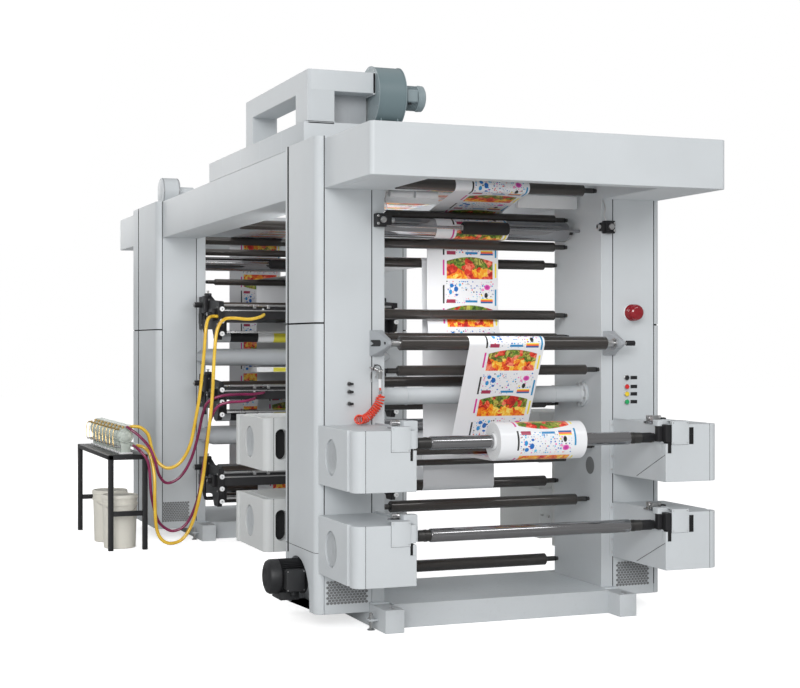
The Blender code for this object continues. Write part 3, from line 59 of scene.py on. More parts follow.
# Sizes that several pieces share, in metres
INNER = 0.734
OUTER = 1.168
FLOOR_GAP = 0.085
HEAD = 2.917
SEAM = 1.809
SKIRT = 0.448
FRONT_DEPTH = 0.652
REAR_START = 4.449
REAR_DEPTH = 1.051
MOTOR_Y = 0.365
REEL_Y = -0.500
UPPER_REEL_Z = 1.119
LOWER_REEL_Z = 0.592
HOUSING_LOWS = (0.332, 0.859)
HOUSING_HEIGHT = 0.344
DIAL_RADIUS = 0.105
FRONT_ROLLER_Z = 1.690
NIP_Z = 2.425
PRINT_LEFT = -0.147
PRINT_RIGHT = 0.240
REPEAT = 0.313
STATIONS = (("upper", 2.010), ("middle", 1.340), ("lower", 0.620))
DECK_FRONT = 3.749
CHEEK = (0.752, 0.792)


# Surfaces
def arc(center, radius, start, end, steps):
    """Points of a circle's arc: the centre plus the radius at evenly spaced angles in degrees."""
    a = np.radians(np.linspace(start, end, steps + 1))
    return np.stack((center[0] + radius * np.cos(a), center[1] + radius * np.sin(a)), axis=1)


def rounded(x, y, radius, steps=4):
    """A rectangle between two limits each way, with a quarter arc at each corner, anticlockwise."""
    r = min(radius, (x[1] - x[0]) * 0.499, (y[1] - y[0]) * 0.499)
    return np.concatenate((
        arc((x[1] - r, y[1] - r), r, 0, 90, steps), arc((x[0] + r, y[1] - r), r, 90, 180, steps),
        arc((x[0] + r, y[0] + r), r, 180, 270, steps), arc((x[1] - r, y[0] + r), r, 270, 360, steps),
    ))


def inset(outline, distance):
    """The outline moved inwards by the mitre rule, along the mean of its two sides' normals."""
    ahead = np.roll(outline, -1, axis=0) - outline
    ahead /= np.maximum(np.linalg.norm(ahead, axis=1), 1e-9)[:, None]
    normal = np.stack((-ahead[:, 1], ahead[:, 0]), axis=1)
    before = np.roll(normal, 1, axis=0)
    mean = normal + before
    mean /= np.maximum((mean * mean).sum(axis=1) / 2, 0.35)[:, None]
    area = (outline[:, 0] * np.roll(outline[:, 1], -1) - outline[:, 1] * np.roll(outline[:, 0], -1)).sum()
    return outline + mean * distance * (1 if area > 0 else -1)


def along(axis, outline, at):
    """A flat outline laid across an axis at one place along it; its columns are the other two axes."""
    k = "XYZ".index(axis)
    return np.insert(np.asarray(outline, float), k, at, axis=1)


def span(side, near, far):
    """Two distances from the middle plane, taken to one side of it, the lower place first."""
    return sorted((side * near, side * far))


def same_ends(low, high, steps):
    """A turned profile between two places, whose ends take the same steps of (distance inwards, radius)."""
    return [(low + inwards, r) for inwards, r in steps] + [(high - inwards, r) for inwards,
                                                           r in reversed(steps)]


def on_circle(center, radius, degrees):
    """The point of a circle at an angle."""
    a = math.radians(degrees)
    return center[0] + radius * math.cos(a), center[1] + radius * math.sin(a)


def directions(path):
    """The direction of a path at each of its points, one long."""
    ahead = np.gradient(path, axis=0)
    return ahead / np.linalg.norm(ahead, axis=1)[:, None]


def run_of(path):
    """How far along a path each of its points lies."""
    return np.concatenate(([0.0], np.cumsum(np.linalg.norm(np.diff(path, axis=0), axis=1))))


class Piece:
    """Gathers closed surfaces in named finishes, then makes one mesh object of them.

    Its own finish is the one that a surface takes when it names none.
    """

    def __init__(self, finish=None):
        self.finishes = [finish] if finish else []
        self.points, self.quads, self.caps, self.quad_finish, self.cap_finish = [], [], [], [], []
        self.quad_uv, self.total = [], 0

    def number(self, finish):
        """The place of a finish in the mesh's list, to which a new one is added."""
        if finish is None:
            return 0
        if finish not in self.finishes:
            self.finishes.append(finish)
        return self.finishes.index(finish)

    def grid(self, points, finish, wrap=False, uv=None):
        """A surface over two parameters, closed across its columns: each cell of the grid is one face."""
        rows, columns = points.shape[:2]
        r, c = np.meshgrid(np.arange(rows if wrap else rows - 1), np.arange(columns), indexing="ij")
        r, c = r.ravel(), c.ravel()
        r2, c2 = (r + 1) % rows, (c + 1) % columns
        quads = np.stack((r * columns + c, r * columns + c2, r2 * columns + c2, r2 * columns + c), axis=1)
        flat = points.reshape(-1, 3)
        self.quads.append(quads + self.total)
        self.quad_finish.append(np.broadcast_to(np.ravel(finish), len(quads)).copy())
        self.points.append(flat)
        if uv is None:
            self.quad_uv.append(np.zeros((len(quads), 4, 2)))
        else:
            steps = np.stack((uv[r, c], uv[r, c + 1], uv[r + 1, c + 1], uv[r + 1, c]), axis=1)
            self.quad_uv.append(steps)
        first = self.total
        self.total += len(flat)
        return first, quads, flat

    def loft(self, rings, finish=None, wrap=False, uv=None):
        """Rings of equal count joined in order and capped flat, with the faces turned to point outwards.

        The finish is a name, or a number for each cell, and then the caps take the piece's own finish.
        """
        rings = np.stack([np.asarray(r, float) for r in rings])
        cap = 0
        if finish is None or isinstance(finish, str):
            finish = cap = self.number(finish)
        first, quads, flat = self.grid(rings, finish, wrap, uv)
        count = rings.shape[1]
        a, b, c, d = (flat[quads[:, k]] for k in range(4))
        middle = flat.mean(axis=0)
        volume = np.einsum("ij,ij->i", np.cross(b - a, c - a), a - middle).sum()
        volume += np.einsum("ij,ij->i", np.cross(c - a, d - a), a - middle).sum()
        if not wrap:
            for ring, sign in ((rings[0], -1), (rings[-1], 1)):
                spread = ring - ring[0]
                cross = np.cross(spread[1:-1], spread[2:]).sum(axis=0)
                volume += sign * np.dot(cross, ring[0] - middle)
        inward = volume < 0
        if inward:
            self.quads[-1] = self.quads[-1][:, ::-1]
            self.quad_uv[-1] = self.quad_uv[-1][:, ::-1]
        if not wrap:
            low = np.arange(count) + first
            high = low + count * (len(rings) - 1)
            low, high = (low[::-1], high) if not inward else (low, high[::-1])
            self.caps += [low, high]
            self.cap_finish += [cap, cap]
        return self

    def slab(self, outline, axis, low, high, bevel=0.002, finish=None):
        """An outline carried along an axis, with its two rims bevelled."""
        outline = np.asarray(outline, float)
        tight = inset(outline, bevel)
        return self.loft([
            along(axis, tight, low), along(axis, outline, low + bevel),
            along(axis, outline, high - bevel), along(axis, tight, high),
        ], finish)

    def box(self, x, y, z, bevel=0.002, finish=None, corner=None):
        """A block between limits with all its edges bevelled."""
        x, y, z = sorted(x), sorted(y), sorted(z)
        corner = bevel if corner is None else corner
        return self.slab(rounded(x, y, corner, 2), "Z", z[0], z[1], bevel, finish)

    def turned(self, profile, axis, center, sides=32, finish=None):
        """A profile of (place along the axis, radius) turned round the axis through a centre."""
        profile = np.asarray(profile, float)
        a = np.arange(sides) * 2 * math.pi / sides
        ring = np.stack((np.cos(a), np.sin(a)), axis=1)
        return self.loft([along(axis, ring * max(r, 1e-4) + center, at) for at, r in profile], finish)

    def bar(self, low, high, radius, axis, center, sides=32, finish=None):
        """A plain round bar between two places on its axis."""
        return self.turned([(low, radius), (high, radius)], axis, center, sides, finish)

    def both_ends(self, profile, center, sides=32, finish=None):
        """A turned profile at the right end of an X axis and, mirrored, at the left end."""
        for side in (-1, 1):
            self.turned([(side * at, r) for at, r in profile], "X", center, sides, finish)

    def tube(self, path, radius, sides=12, finish=None, uv=False):
        """A circle carried along a path, turned as little as possible from each point to the next."""
        path = np.asarray(path, float)
        ahead = directions(path)
        side = np.cross(ahead[0], (0, 0, 1) if abs(ahead[0][2]) < 0.9 else (1, 0, 0))
        frames = []
        for direction in ahead:
            side = side - direction * np.dot(side, direction)
            side = side / np.linalg.norm(side)
            frames.append(side)
        side = np.array(frames)
        other = np.cross(ahead, side)
        a = np.arange(sides) * 2 * math.pi / sides
        radius = np.broadcast_to(radius, len(path))[:, None, None]
        ring = side[:, None] * np.cos(a)[None, :, None] + other[:, None] * np.sin(a)[None, :, None]
        points = path[:, None] + ring * radius
        table = None
        if uv:
            around = np.linspace(0, 1, sides + 1)
            table = np.stack(np.broadcast_arrays(around[None, :], run_of(path)[:, None]), axis=2)
        return self.loft(points, finish, uv=table)

    def make(self, name, replaces=(), slot=None, body=ROOT, smooth=32):
        """Puts the arrays into a mesh, shades it smooth below an angle and makes it ride on its body."""
        points = np.concatenate(self.points)
        quads = np.concatenate(self.quads)
        mesh = bpy.data.meshes.new(name)
        loops = np.concatenate([quads.ravel()] + self.caps)
        sizes = np.concatenate((np.full(len(quads), 4), np.array([len(c) for c in self.caps], int)))
        mesh.vertices.add(len(points))
        mesh.vertices.foreach_set("co", points.ravel())
        mesh.loops.add(len(loops))
        mesh.loops.foreach_set("vertex_index", loops.astype(np.int32))
        mesh.polygons.add(len(sizes))
        starts = np.concatenate(([0], np.cumsum(sizes)[:-1]))
        mesh.polygons.foreach_set("loop_start", starts.astype(np.int32))
        finish = np.concatenate(self.quad_finish + [np.array(self.cap_finish, int)])
        mesh.polygons.foreach_set("material_index", finish.astype(np.int32))
        spread = np.concatenate([np.concatenate(self.quad_uv).reshape(-1, 2),
                                 np.zeros((len(loops) - quads.size, 2))])
        layer = mesh.uv_layers.new(name="run")
        layer.data.foreach_set("uv", spread.ravel())
        mesh.validate()
        mesh.update()
        mesh.shade_smooth()
        mesh.set_sharp_from_angle(angle=math.radians(smooth))
        for one in self.finishes:
            mesh.materials.append(F[one])
        made = bpy.data.objects.new(name, mesh)
        bpy.context.scene.collection.objects.link(made)
        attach(made, body)
        if replaces:
            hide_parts(*replaces)
        return made


def carve(target, *pieces):
    """Cuts the target by gathered pieces with an exact Boolean, keeps the result and removes the cutters."""
    cutters = [piece.make("cutter") for piece in pieces]
    for cutter in cutters:
        step = target.modifiers.new("cut", "BOOLEAN")
        step.operation, step.solver, step.object = "DIFFERENCE", "EXACT", cutter
    graph = bpy.context.evaluated_depsgraph_get()
    graph.update()
    result = bpy.data.meshes.new_from_object(target.evaluated_get(graph))
    target.modifiers.clear()
    target.data = result
    result.set_sharp_from_angle(angle=math.radians(32))
    for cutter in cutters:
        bpy.data.objects.remove(cutter, do_unlink=True)
    return target


# Finishes
def group(name, inputs, outputs):
    """A new shader node group with named sockets; each is (name, kind, default)."""
    tree = bpy.data.node_groups.new(name, "ShaderNodeTree")
    for label, kind, value in inputs:
        socket = tree.interface.new_socket(label, in_out="INPUT", socket_type="NodeSocket" + kind)
        if value is not None:
            socket.default_value = value
    for label, kind in outputs:
        tree.interface.new_socket(label, in_out="OUTPUT", socket_type="NodeSocket" + kind)
    return tree, tree.nodes.new("NodeGroupInput"), tree.nodes.new("NodeGroupOutput")


def node(tree, kind, settings=(), **inputs):
    """A shader node with its settings, and each input linked from a socket or set to a value."""
    made = tree.nodes.new("ShaderNode" + kind)
    for key, value in dict(settings).items():
        setattr(made, key, value)
    for key, value in inputs.items():
        socket = made.inputs[int(key[1:]) if key[0] == "_" and key[1:].isdigit() else key.replace("_", " ")]
        if isinstance(value, bpy.types.NodeSocket):
            tree.links.new(value, socket)
        else:
            socket.default_value = value
    return made


def maths(tree, operation, *values):
    """One step of arithmetic on sockets and numbers."""
    return node(tree, "Math", {"operation": operation}, **{f"_{i}": v for i,
                                                           v in enumerate(values)}).outputs[0]


def plus(tree, first, second):
    """The sum."""
    return maths(tree, "ADD", first, second)


def minus(tree, first, second):
    """The difference."""
    return maths(tree, "SUBTRACT", first, second)


def times(tree, first, second):
    """The product."""
    return maths(tree, "MULTIPLY", first, second)


def above(tree, value, limit):
    """One where the value is over the limit, else zero."""
    return maths(tree, "GREATER_THAN", value, limit)


def below(tree, value, limit):
    """One where the value is under the limit, else zero."""
    return maths(tree, "LESS_THAN", value, limit)


def blend_colors(tree, factor, first, second, mode="MIX"):
    """Two colours mixed by a factor."""
    made = node(tree, "Mix", {"data_type": "RGBA", "blend_type": mode}, _0=factor, _6=first, _7=second)
    return made.outputs[2]


def ramp(tree, value, *stops):
    """A value turned into a colour through stops of (place, colour)."""
    made = node(tree, "ValToRGB", _0=value)
    band = made.color_ramp
    while len(band.elements) < len(stops):
        band.elements.new(0.5)
    for element, (place, color) in zip(band.elements, stops):
        element.position, element.color = place, (*color, 1)
    return made.outputs[0]


def painted_group():
    """Sheet metal paint: a faint cloudiness, grime that gathers near the floor, and a fine stipple."""
    tree, i, o = group("painted_panel", [
        ("Color", "Color", (0.6, 0.62, 0.64, 1)), ("Grime", "Float", 0.1), ("Roughness", "Float", 0.4),
    ], [("Color", "Color"), ("Roughness", "Float"), ("Height", "Float")])
    place = node(tree, "TexCoord").outputs["Object"]
    cloud = node(tree, "TexNoise", Vector=place, Scale=1.6, Detail=5.0).outputs[0]
    fine = node(tree, "TexNoise", Vector=place, Scale=520.0, Detail=2.0).outputs[0]
    scuff = node(tree, "TexNoise", Vector=place, Scale=38.0, Detail=8.0, Roughness=0.7).outputs[0]
    height = node(tree, "SeparateXYZ", Vector=place).outputs[2]
    low = node(tree, "MapRange", _0=height, _1=0.05, _2=0.55, _3=1.0, _4=0.0).outputs[0]
    tint = node(tree, "MapRange", _0=cloud, _1=0.3, _2=0.7, _3=0.96, _4=1.035).outputs[0]
    shade = node(tree, "VectorMath", {"operation": "SCALE"}, _0=i.outputs[0], Scale=tint).outputs[0]
    spot = node(tree, "MapRange", _0=scuff, _1=0.56, _2=0.72).outputs[0]
    dirt = times(tree, i.outputs[1], plus(tree, times(tree, low, 0.7), 0.3))
    amount = times(tree, dirt, plus(tree, times(tree, spot, 0.8), 0.2))
    color = blend_colors(tree, amount, shade, (0.17, 0.16, 0.14, 1))
    rough = plus(tree, i.outputs[2], times(tree, minus(tree, cloud, 0.5), 0.16))
    tree.links.new(color, o.inputs[0])
    tree.links.new(rough, o.inputs[1])
    tree.links.new(fine, o.inputs[2])
    return tree


def lathe_group():
    """Turned metal: fine lines round the roller's axis, and a slow change of tone along it."""
    tree, i, o = group("turned_lines", [
        ("Color", "Color", (0.5, 0.5, 0.5, 1)), ("Streak", "Float", 0.2), ("Roughness", "Float", 0.3),
    ], [("Color", "Color"), ("Roughness", "Float"), ("Height", "Float")])
    place = node(tree, "TexCoord").outputs["Object"]
    stretched = node(tree, "Mapping", Vector=place, Scale=(420.0, 3.0, 3.0)).outputs[0]
    lines = node(tree, "TexNoise", Vector=stretched, Scale=1.0, Detail=4.0, Roughness=0.65).outputs[0]
    slow = node(tree, "TexNoise", Vector=place, Scale=4.0, Detail=3.0).outputs[0]
    both = plus(tree, times(tree, lines, 0.7), times(tree, slow, 0.3))
    swing = times(tree, minus(tree, both, 0.5), i.outputs[1])
    shade = node(tree, "VectorMath", {"operation": "SCALE"}, _0=i.outputs[0], Scale=plus(tree, swing, 1.0))
    rough = plus(tree, i.outputs[2], times(tree, swing, 0.35))
    tree.links.new(shade.outputs[0], o.inputs[0])
    tree.links.new(rough, o.inputs[1])
    tree.links.new(lines, o.inputs[2])
    return tree


def grain_group():
    """Cast metal, rubber and moulded plastic: a fine grain with a little change of tone."""
    tree, i, o = group("fine_grain", [
        ("Color", "Color", (0.1, 0.1, 0.1, 1)), ("Scale", "Float", 300.0), ("Change", "Float", 0.2),
        ("Roughness", "Float", 0.5),
    ], [("Color", "Color"), ("Roughness", "Float"), ("Height", "Float")])
    place = node(tree, "TexCoord").outputs["Object"]
    fine = node(tree, "TexNoise", Vector=place, Scale=i.outputs[1], Detail=3.0).outputs[0]
    patch = node(tree, "TexNoise", Vector=place, Scale=9.0, Detail=4.0).outputs[0]
    swing = times(tree, minus(tree, patch, 0.5), i.outputs[2])
    shade = node(tree, "VectorMath", {"operation": "SCALE"}, _0=i.outputs[0], Scale=plus(tree, swing, 1.0))
    rough = plus(tree, i.outputs[3], times(tree, swing, 0.3))
    tree.links.new(shade.outputs[0], o.inputs[0])
    tree.links.new(rough, o.inputs[1])
    tree.links.new(fine, o.inputs[2])
    return tree


def print_group():
    """The printed band on the film, over a strip's own width and run in metres.

    Each repeat holds a picture field whose upper edge is a wave,
    filled with leaf and slice shaped cells in two
    sizes, then rows of small marks: discs that each cell of a lattice gives its own tint, with rings,
    lozenges
    and bars over them. Bars of plain colour run down both edges. Only the run below zero is printed.
    """
    tree, i, o = group("printed_band", [("Place", "Vector", None)], [("Color", "Color")])
    across_run = node(tree, "SeparateXYZ", Vector=i.outputs[0])
    x, run = across_run.outputs[0], across_run.outputs[1]
    width = PRINT_RIGHT - PRINT_LEFT
    u = maths(tree, "DIVIDE", minus(tree, x, PRINT_LEFT), width)
    v = maths(tree, "FRACT", maths(tree, "DIVIDE", run, REPEAT))
    white = (0.80, 0.81, 0.83, 1)

    def between(value, low, high):
        return times(tree, above(tree, value, low), below(tree, value, high))

    def both(*masks):
        result = masks[0]
        for mask in masks[1:]:
            result = times(tree, result, mask)
        return result

    def disc(cu, cv, radius, aspect=1.0):
        du = times(tree, minus(tree, u, cu), width)
        dv = times(tree, minus(tree, v, cv), REPEAT * aspect)
        return below(tree, maths(tree, "SQRT", maths(
            tree, "ADD", times(tree, du, du), times(tree, dv, dv))), radius)

    wave = plus(tree, 0.37, times(tree, maths(tree, "SINE", times(tree, u, 3.14)), 0.115))
    field = both(between(u, 0.08, 0.92), above(tree, v, 0.03), below(tree, v, wave))
    flat = node(tree, "Mapping", Vector=i.outputs[0], Scale=(1, 1, 0)).outputs[0]
    bend = node(tree, "TexNoise", {"noise_dimensions": "2D"}, Vector=flat, Scale=16.0, Detail=2.0)
    warped = blend_colors(tree, 0.035, flat, bend.outputs[1], "ADD")
    big = node(tree, "TexVoronoi", {"voronoi_dimensions": "2D"}, Vector=warped, Scale=34.0)
    small = node(tree, "TexVoronoi", {"voronoi_dimensions": "2D"}, Vector=warped, Scale=95.0)
    tone = node(tree, "SeparateColor", Color=big.outputs["Color"]).outputs[0]
    fine = node(tree, "SeparateColor", Color=small.outputs["Color"])
    mixed = plus(tree, times(tree, tone, 0.62), times(tree, fine.outputs[1], 0.38))
    amber = ramp(tree, mixed, (0.12, (0.70, 0.03, 0.01)), (0.34, (0.88, 0.16, 0.01)),
                 (0.50, (0.93, 0.36, 0.02)),
                 (0.66, (0.95, 0.55, 0.04)), (0.84, (0.97, 0.74, 0.16)))
    leaf = ramp(tree, mixed, (0.14, (0.03, 0.08, 0.01)), (0.36, (0.10, 0.20, 0.02)),
                (0.52, (0.26, 0.38, 0.04)),
                (0.62, (0.12, 0.03, 0.01)), (0.80, (0.52, 0.50, 0.10)))
    berry = ramp(tree, mixed, (0.15, (0.35, 0.01, 0.01)), (0.5, (0.78, 0.04, 0.02)),
                 (0.85, (0.92, 0.30, 0.16)))
    sway = node(tree, "TexNoise", {"noise_dimensions": "2D"}, Vector=flat, Scale=22.0, Detail=2.0).outputs[0]
    crest = above(tree, plus(tree, v, times(tree, sway, 0.26)), 0.37)
    heart = above(tree, node(tree, "TexNoise", {"noise_dimensions": "2D"}, Vector=flat, Scale=13.0,
                                             Detail=1.0).outputs[0], 0.56)
    picture = blend_colors(tree, heart, blend_colors(tree, crest, amber, leaf), berry)
    color = blend_colors(tree, field, white, picture)
    lattice = node(tree, "TexVoronoi", {"voronoi_dimensions": "2D"}, Vector=flat, Scale=74.0, Randomness=0.75)
    pick = node(tree, "SeparateColor", Color=lattice.outputs["Color"])
    spot = below(tree, lattice.outputs["Distance"], times(tree, pick.outputs[1], 0.42))
    kept = both(above(tree, pick.outputs[2], 0.34), between(u, 0.06, 0.94), between(v, 0.53, 0.985))
    tints = ramp(tree, pick.outputs[0], (0.10, (0.01, 0.13, 0.50)), (0.30, (0.05, 0.42, 0.72)),
                 (0.48, (0.42, 0.44, 0.50)),
                 (0.60, (0.02, 0.02, 0.03)), (0.74, (0.78, 0.16, 0.50)), (0.90, (0.80, 0.08, 0.06)))
    tree.nodes[tints.node.name].color_ramp.interpolation = "CONSTANT"
    color = blend_colors(tree, both(spot, kept), color, tints)
    for cu, cv, radius, aspect, tint in (
        (0.17, 0.89, 0.013, 1.0, (0.01, 0.17, 0.52, 1)), (0.25, 0.82, 0.014, 0.8, (0.01, 0.13, 0.46, 1)),
        (0.15, 0.76, 0.011, 0.7, (0.02, 0.28, 0.62, 1)), (0.32, 0.91, 0.009, 1.0, (0.10, 0.50, 0.76, 1)),
        (0.26, 0.70, 0.010, 1.4, (0.01, 0.13, 0.46, 1)), (0.82, 0.86, 0.021, 1.2, (0.72, 0.10, 0.44, 1)),
        (0.82, 0.86, 0.012, 1.2, (0.50, 0.04, 0.30, 1)), (0.74, 0.81, 0.009, 1.0, (0.80, 0.30, 0.55, 1)),
        (0.80, 0.695, 0.012, 0.7, (0.02, 0.02, 0.02, 1)), (0.72, 0.69, 0.006, 1.0, (0.92, 0.70, 0.05, 1)),
    ):
        color = blend_colors(tree, disc(cu, cv, radius, aspect), color, tint)
    for low_u, high_u, low_v, high_v, tint in (
        (0.08, 0.24, 0.53, 0.605, (0.36, 0.03, 0.08, 1)), (0.42, 0.64, 0.545, 0.59, (0.01, 0.22, 0.50, 1)),
        (0.70, 0.92, 0.530, 0.565, (0.02, 0.10, 0.34, 1)), (0.70, 0.92, 0.565, 0.60, (0.86, 0.14, 0.04, 1)),
        (0.70, 0.92, 0.60, 0.622, (0.90, 0.72, 0.05, 1)), (0.010, 0.040, 0.10, 0.42, (0.65, 0.03, 0.30, 1)),
        (0.010, 0.040, 0.52, 0.90, (0.02, 0.02, 0.02, 1)), (0.960, 0.990, 0.48, 0.82, (0.01, 0.25, 0.50, 1)),
        (0.960, 0.990, 0.06, 0.36, (0.90, 0.75, 0.05, 1)),
    ):
        bar = both(between(u, low_u, high_u), between(v, low_v, high_v))
        color = blend_colors(tree, bar, color, tint)
    ink = both(between(u, 0.0, 1.0), below(tree, run, 0.0))
    tree.links.new(blend_colors(tree, ink, white, color), o.inputs[0])
    return tree


GROUPS = {}


def blank(name):
    """A new material, its node tree and its surface shader."""
    made = bpy.data.materials.new(name)
    made.use_nodes = True
    return made, made.node_tree, made.node_tree.nodes["Principled BSDF"]


def finish(name, kind, color, roughness, bump=0.05, distance=0.0004, metallic=0.0, **values):
    """A material whose colour, roughness and bump come from one of the shared groups."""
    if kind not in GROUPS:
        GROUPS[kind] = {"paint": painted_group, "lathe": lathe_group, "grain": grain_group}[kind]()
    made, tree, shader = blank(name)
    effect = tree.nodes.new("ShaderNodeGroup")
    effect.node_tree = GROUPS[kind]
    effect.inputs["Color"].default_value = (*color, 1)
    effect.inputs["Roughness"].default_value = roughness
    for key in {"Grime", "Streak", "Scale", "Change"} & values.keys():
        effect.inputs[key].default_value = values.pop(key)
    bumped = node(tree, "Bump", Strength=bump, Distance=distance, Height=effect.outputs["Height"])
    tree.links.new(effect.outputs["Color"], shader.inputs["Base Color"])
    tree.links.new(effect.outputs["Roughness"], shader.inputs["Roughness"])
    tree.links.new(bumped.outputs[0], shader.inputs["Normal"])
    shader.inputs["Metallic"].default_value = metallic
    for key, value in values.items():
        shader.inputs[key.replace("_", " ")].default_value = value
    return made


def film_finish():
    """White film, printed along its middle: reads the strip's own width and run."""
    made, tree, shader = blank("printed_film")
    effect = tree.nodes.new("ShaderNodeGroup")
    effect.node_tree = print_group()
    place = node(tree, "UVMap", {"uv_map": "run"}).outputs[0]
    tree.links.new(place, effect.inputs[0])
    wide = node(tree, "Mapping", Vector=place, Scale=(2.0, 9.0, 1.0)).outputs[0]
    ripple = node(tree, "TexNoise", {"noise_dimensions": "2D"}, Vector=wide, Scale=1.0, Detail=1.0).outputs[0]
    bumped = node(tree, "Bump", Strength=0.12, Distance=0.004, Height=ripple)
    tree.links.new(effect.outputs[0], shader.inputs["Base Color"])
    tree.links.new(bumped.outputs[0], shader.inputs["Normal"])
    shader.inputs["Roughness"].default_value = 0.28
    shader.inputs["Coat Weight"].default_value = 0.25
    return made


def layered_finish():
    """The roll's ends: edges of the wound film show as fine rings round the shaft."""
    made, tree, shader = blank("wound_edges")
    place = node(tree, "TexCoord").outputs["Object"]
    centered = node(tree, "Mapping", Vector=place, Location=(0.0, -REEL_Y, -UPPER_REEL_Z)).outputs[0]
    flat = node(tree, "VectorMath", {"operation": "MULTIPLY"}, _0=centered, _1=(0.0, 1.0, 1.0)).outputs[0]
    radius = node(tree, "VectorMath", {"operation": "LENGTH"}, _0=flat).outputs[1]
    rings = node(tree, "TexNoise", {"noise_dimensions": "1D"}, W=times(tree, radius, 900.0),
                 Scale=1.0, Detail=3.0).outputs[0]
    tree.links.new(ramp(tree, rings, (0.3, (0.66, 0.67, 0.68)), (0.7, (0.88, 0.88, 0.88))),
                   shader.inputs["Base Color"])
    bumped = node(tree, "Bump", Strength=0.3, Distance=0.0006, Height=rings)
    tree.links.new(bumped.outputs[0], shader.inputs["Normal"])
    shader.inputs["Roughness"].default_value = 0.5
    return made


def wet_finish(name, color, depth, roughness=0.25):
    """A clear hose with ink in it: the ink's tone swings along the run."""
    made, tree, shader = blank(name)
    place = node(tree, "UVMap", {"uv_map": "run"}).outputs[0]
    wide = node(tree, "Mapping", Vector=place, Scale=(2.0, 5.0, 1.0)).outputs[0]
    noise = node(tree, "TexNoise", {"noise_dimensions": "2D"}, Vector=wide, Scale=1.0, Detail=4.0).outputs[0]
    tree.links.new(ramp(tree, noise, (0.3, depth), (0.65, color)), shader.inputs["Base Color"])
    shader.inputs["Roughness"].default_value = roughness
    shader.inputs["Coat Weight"].default_value = 0.6
    shader.inputs["Coat Roughness"].default_value = 0.08
    return made


F = {}


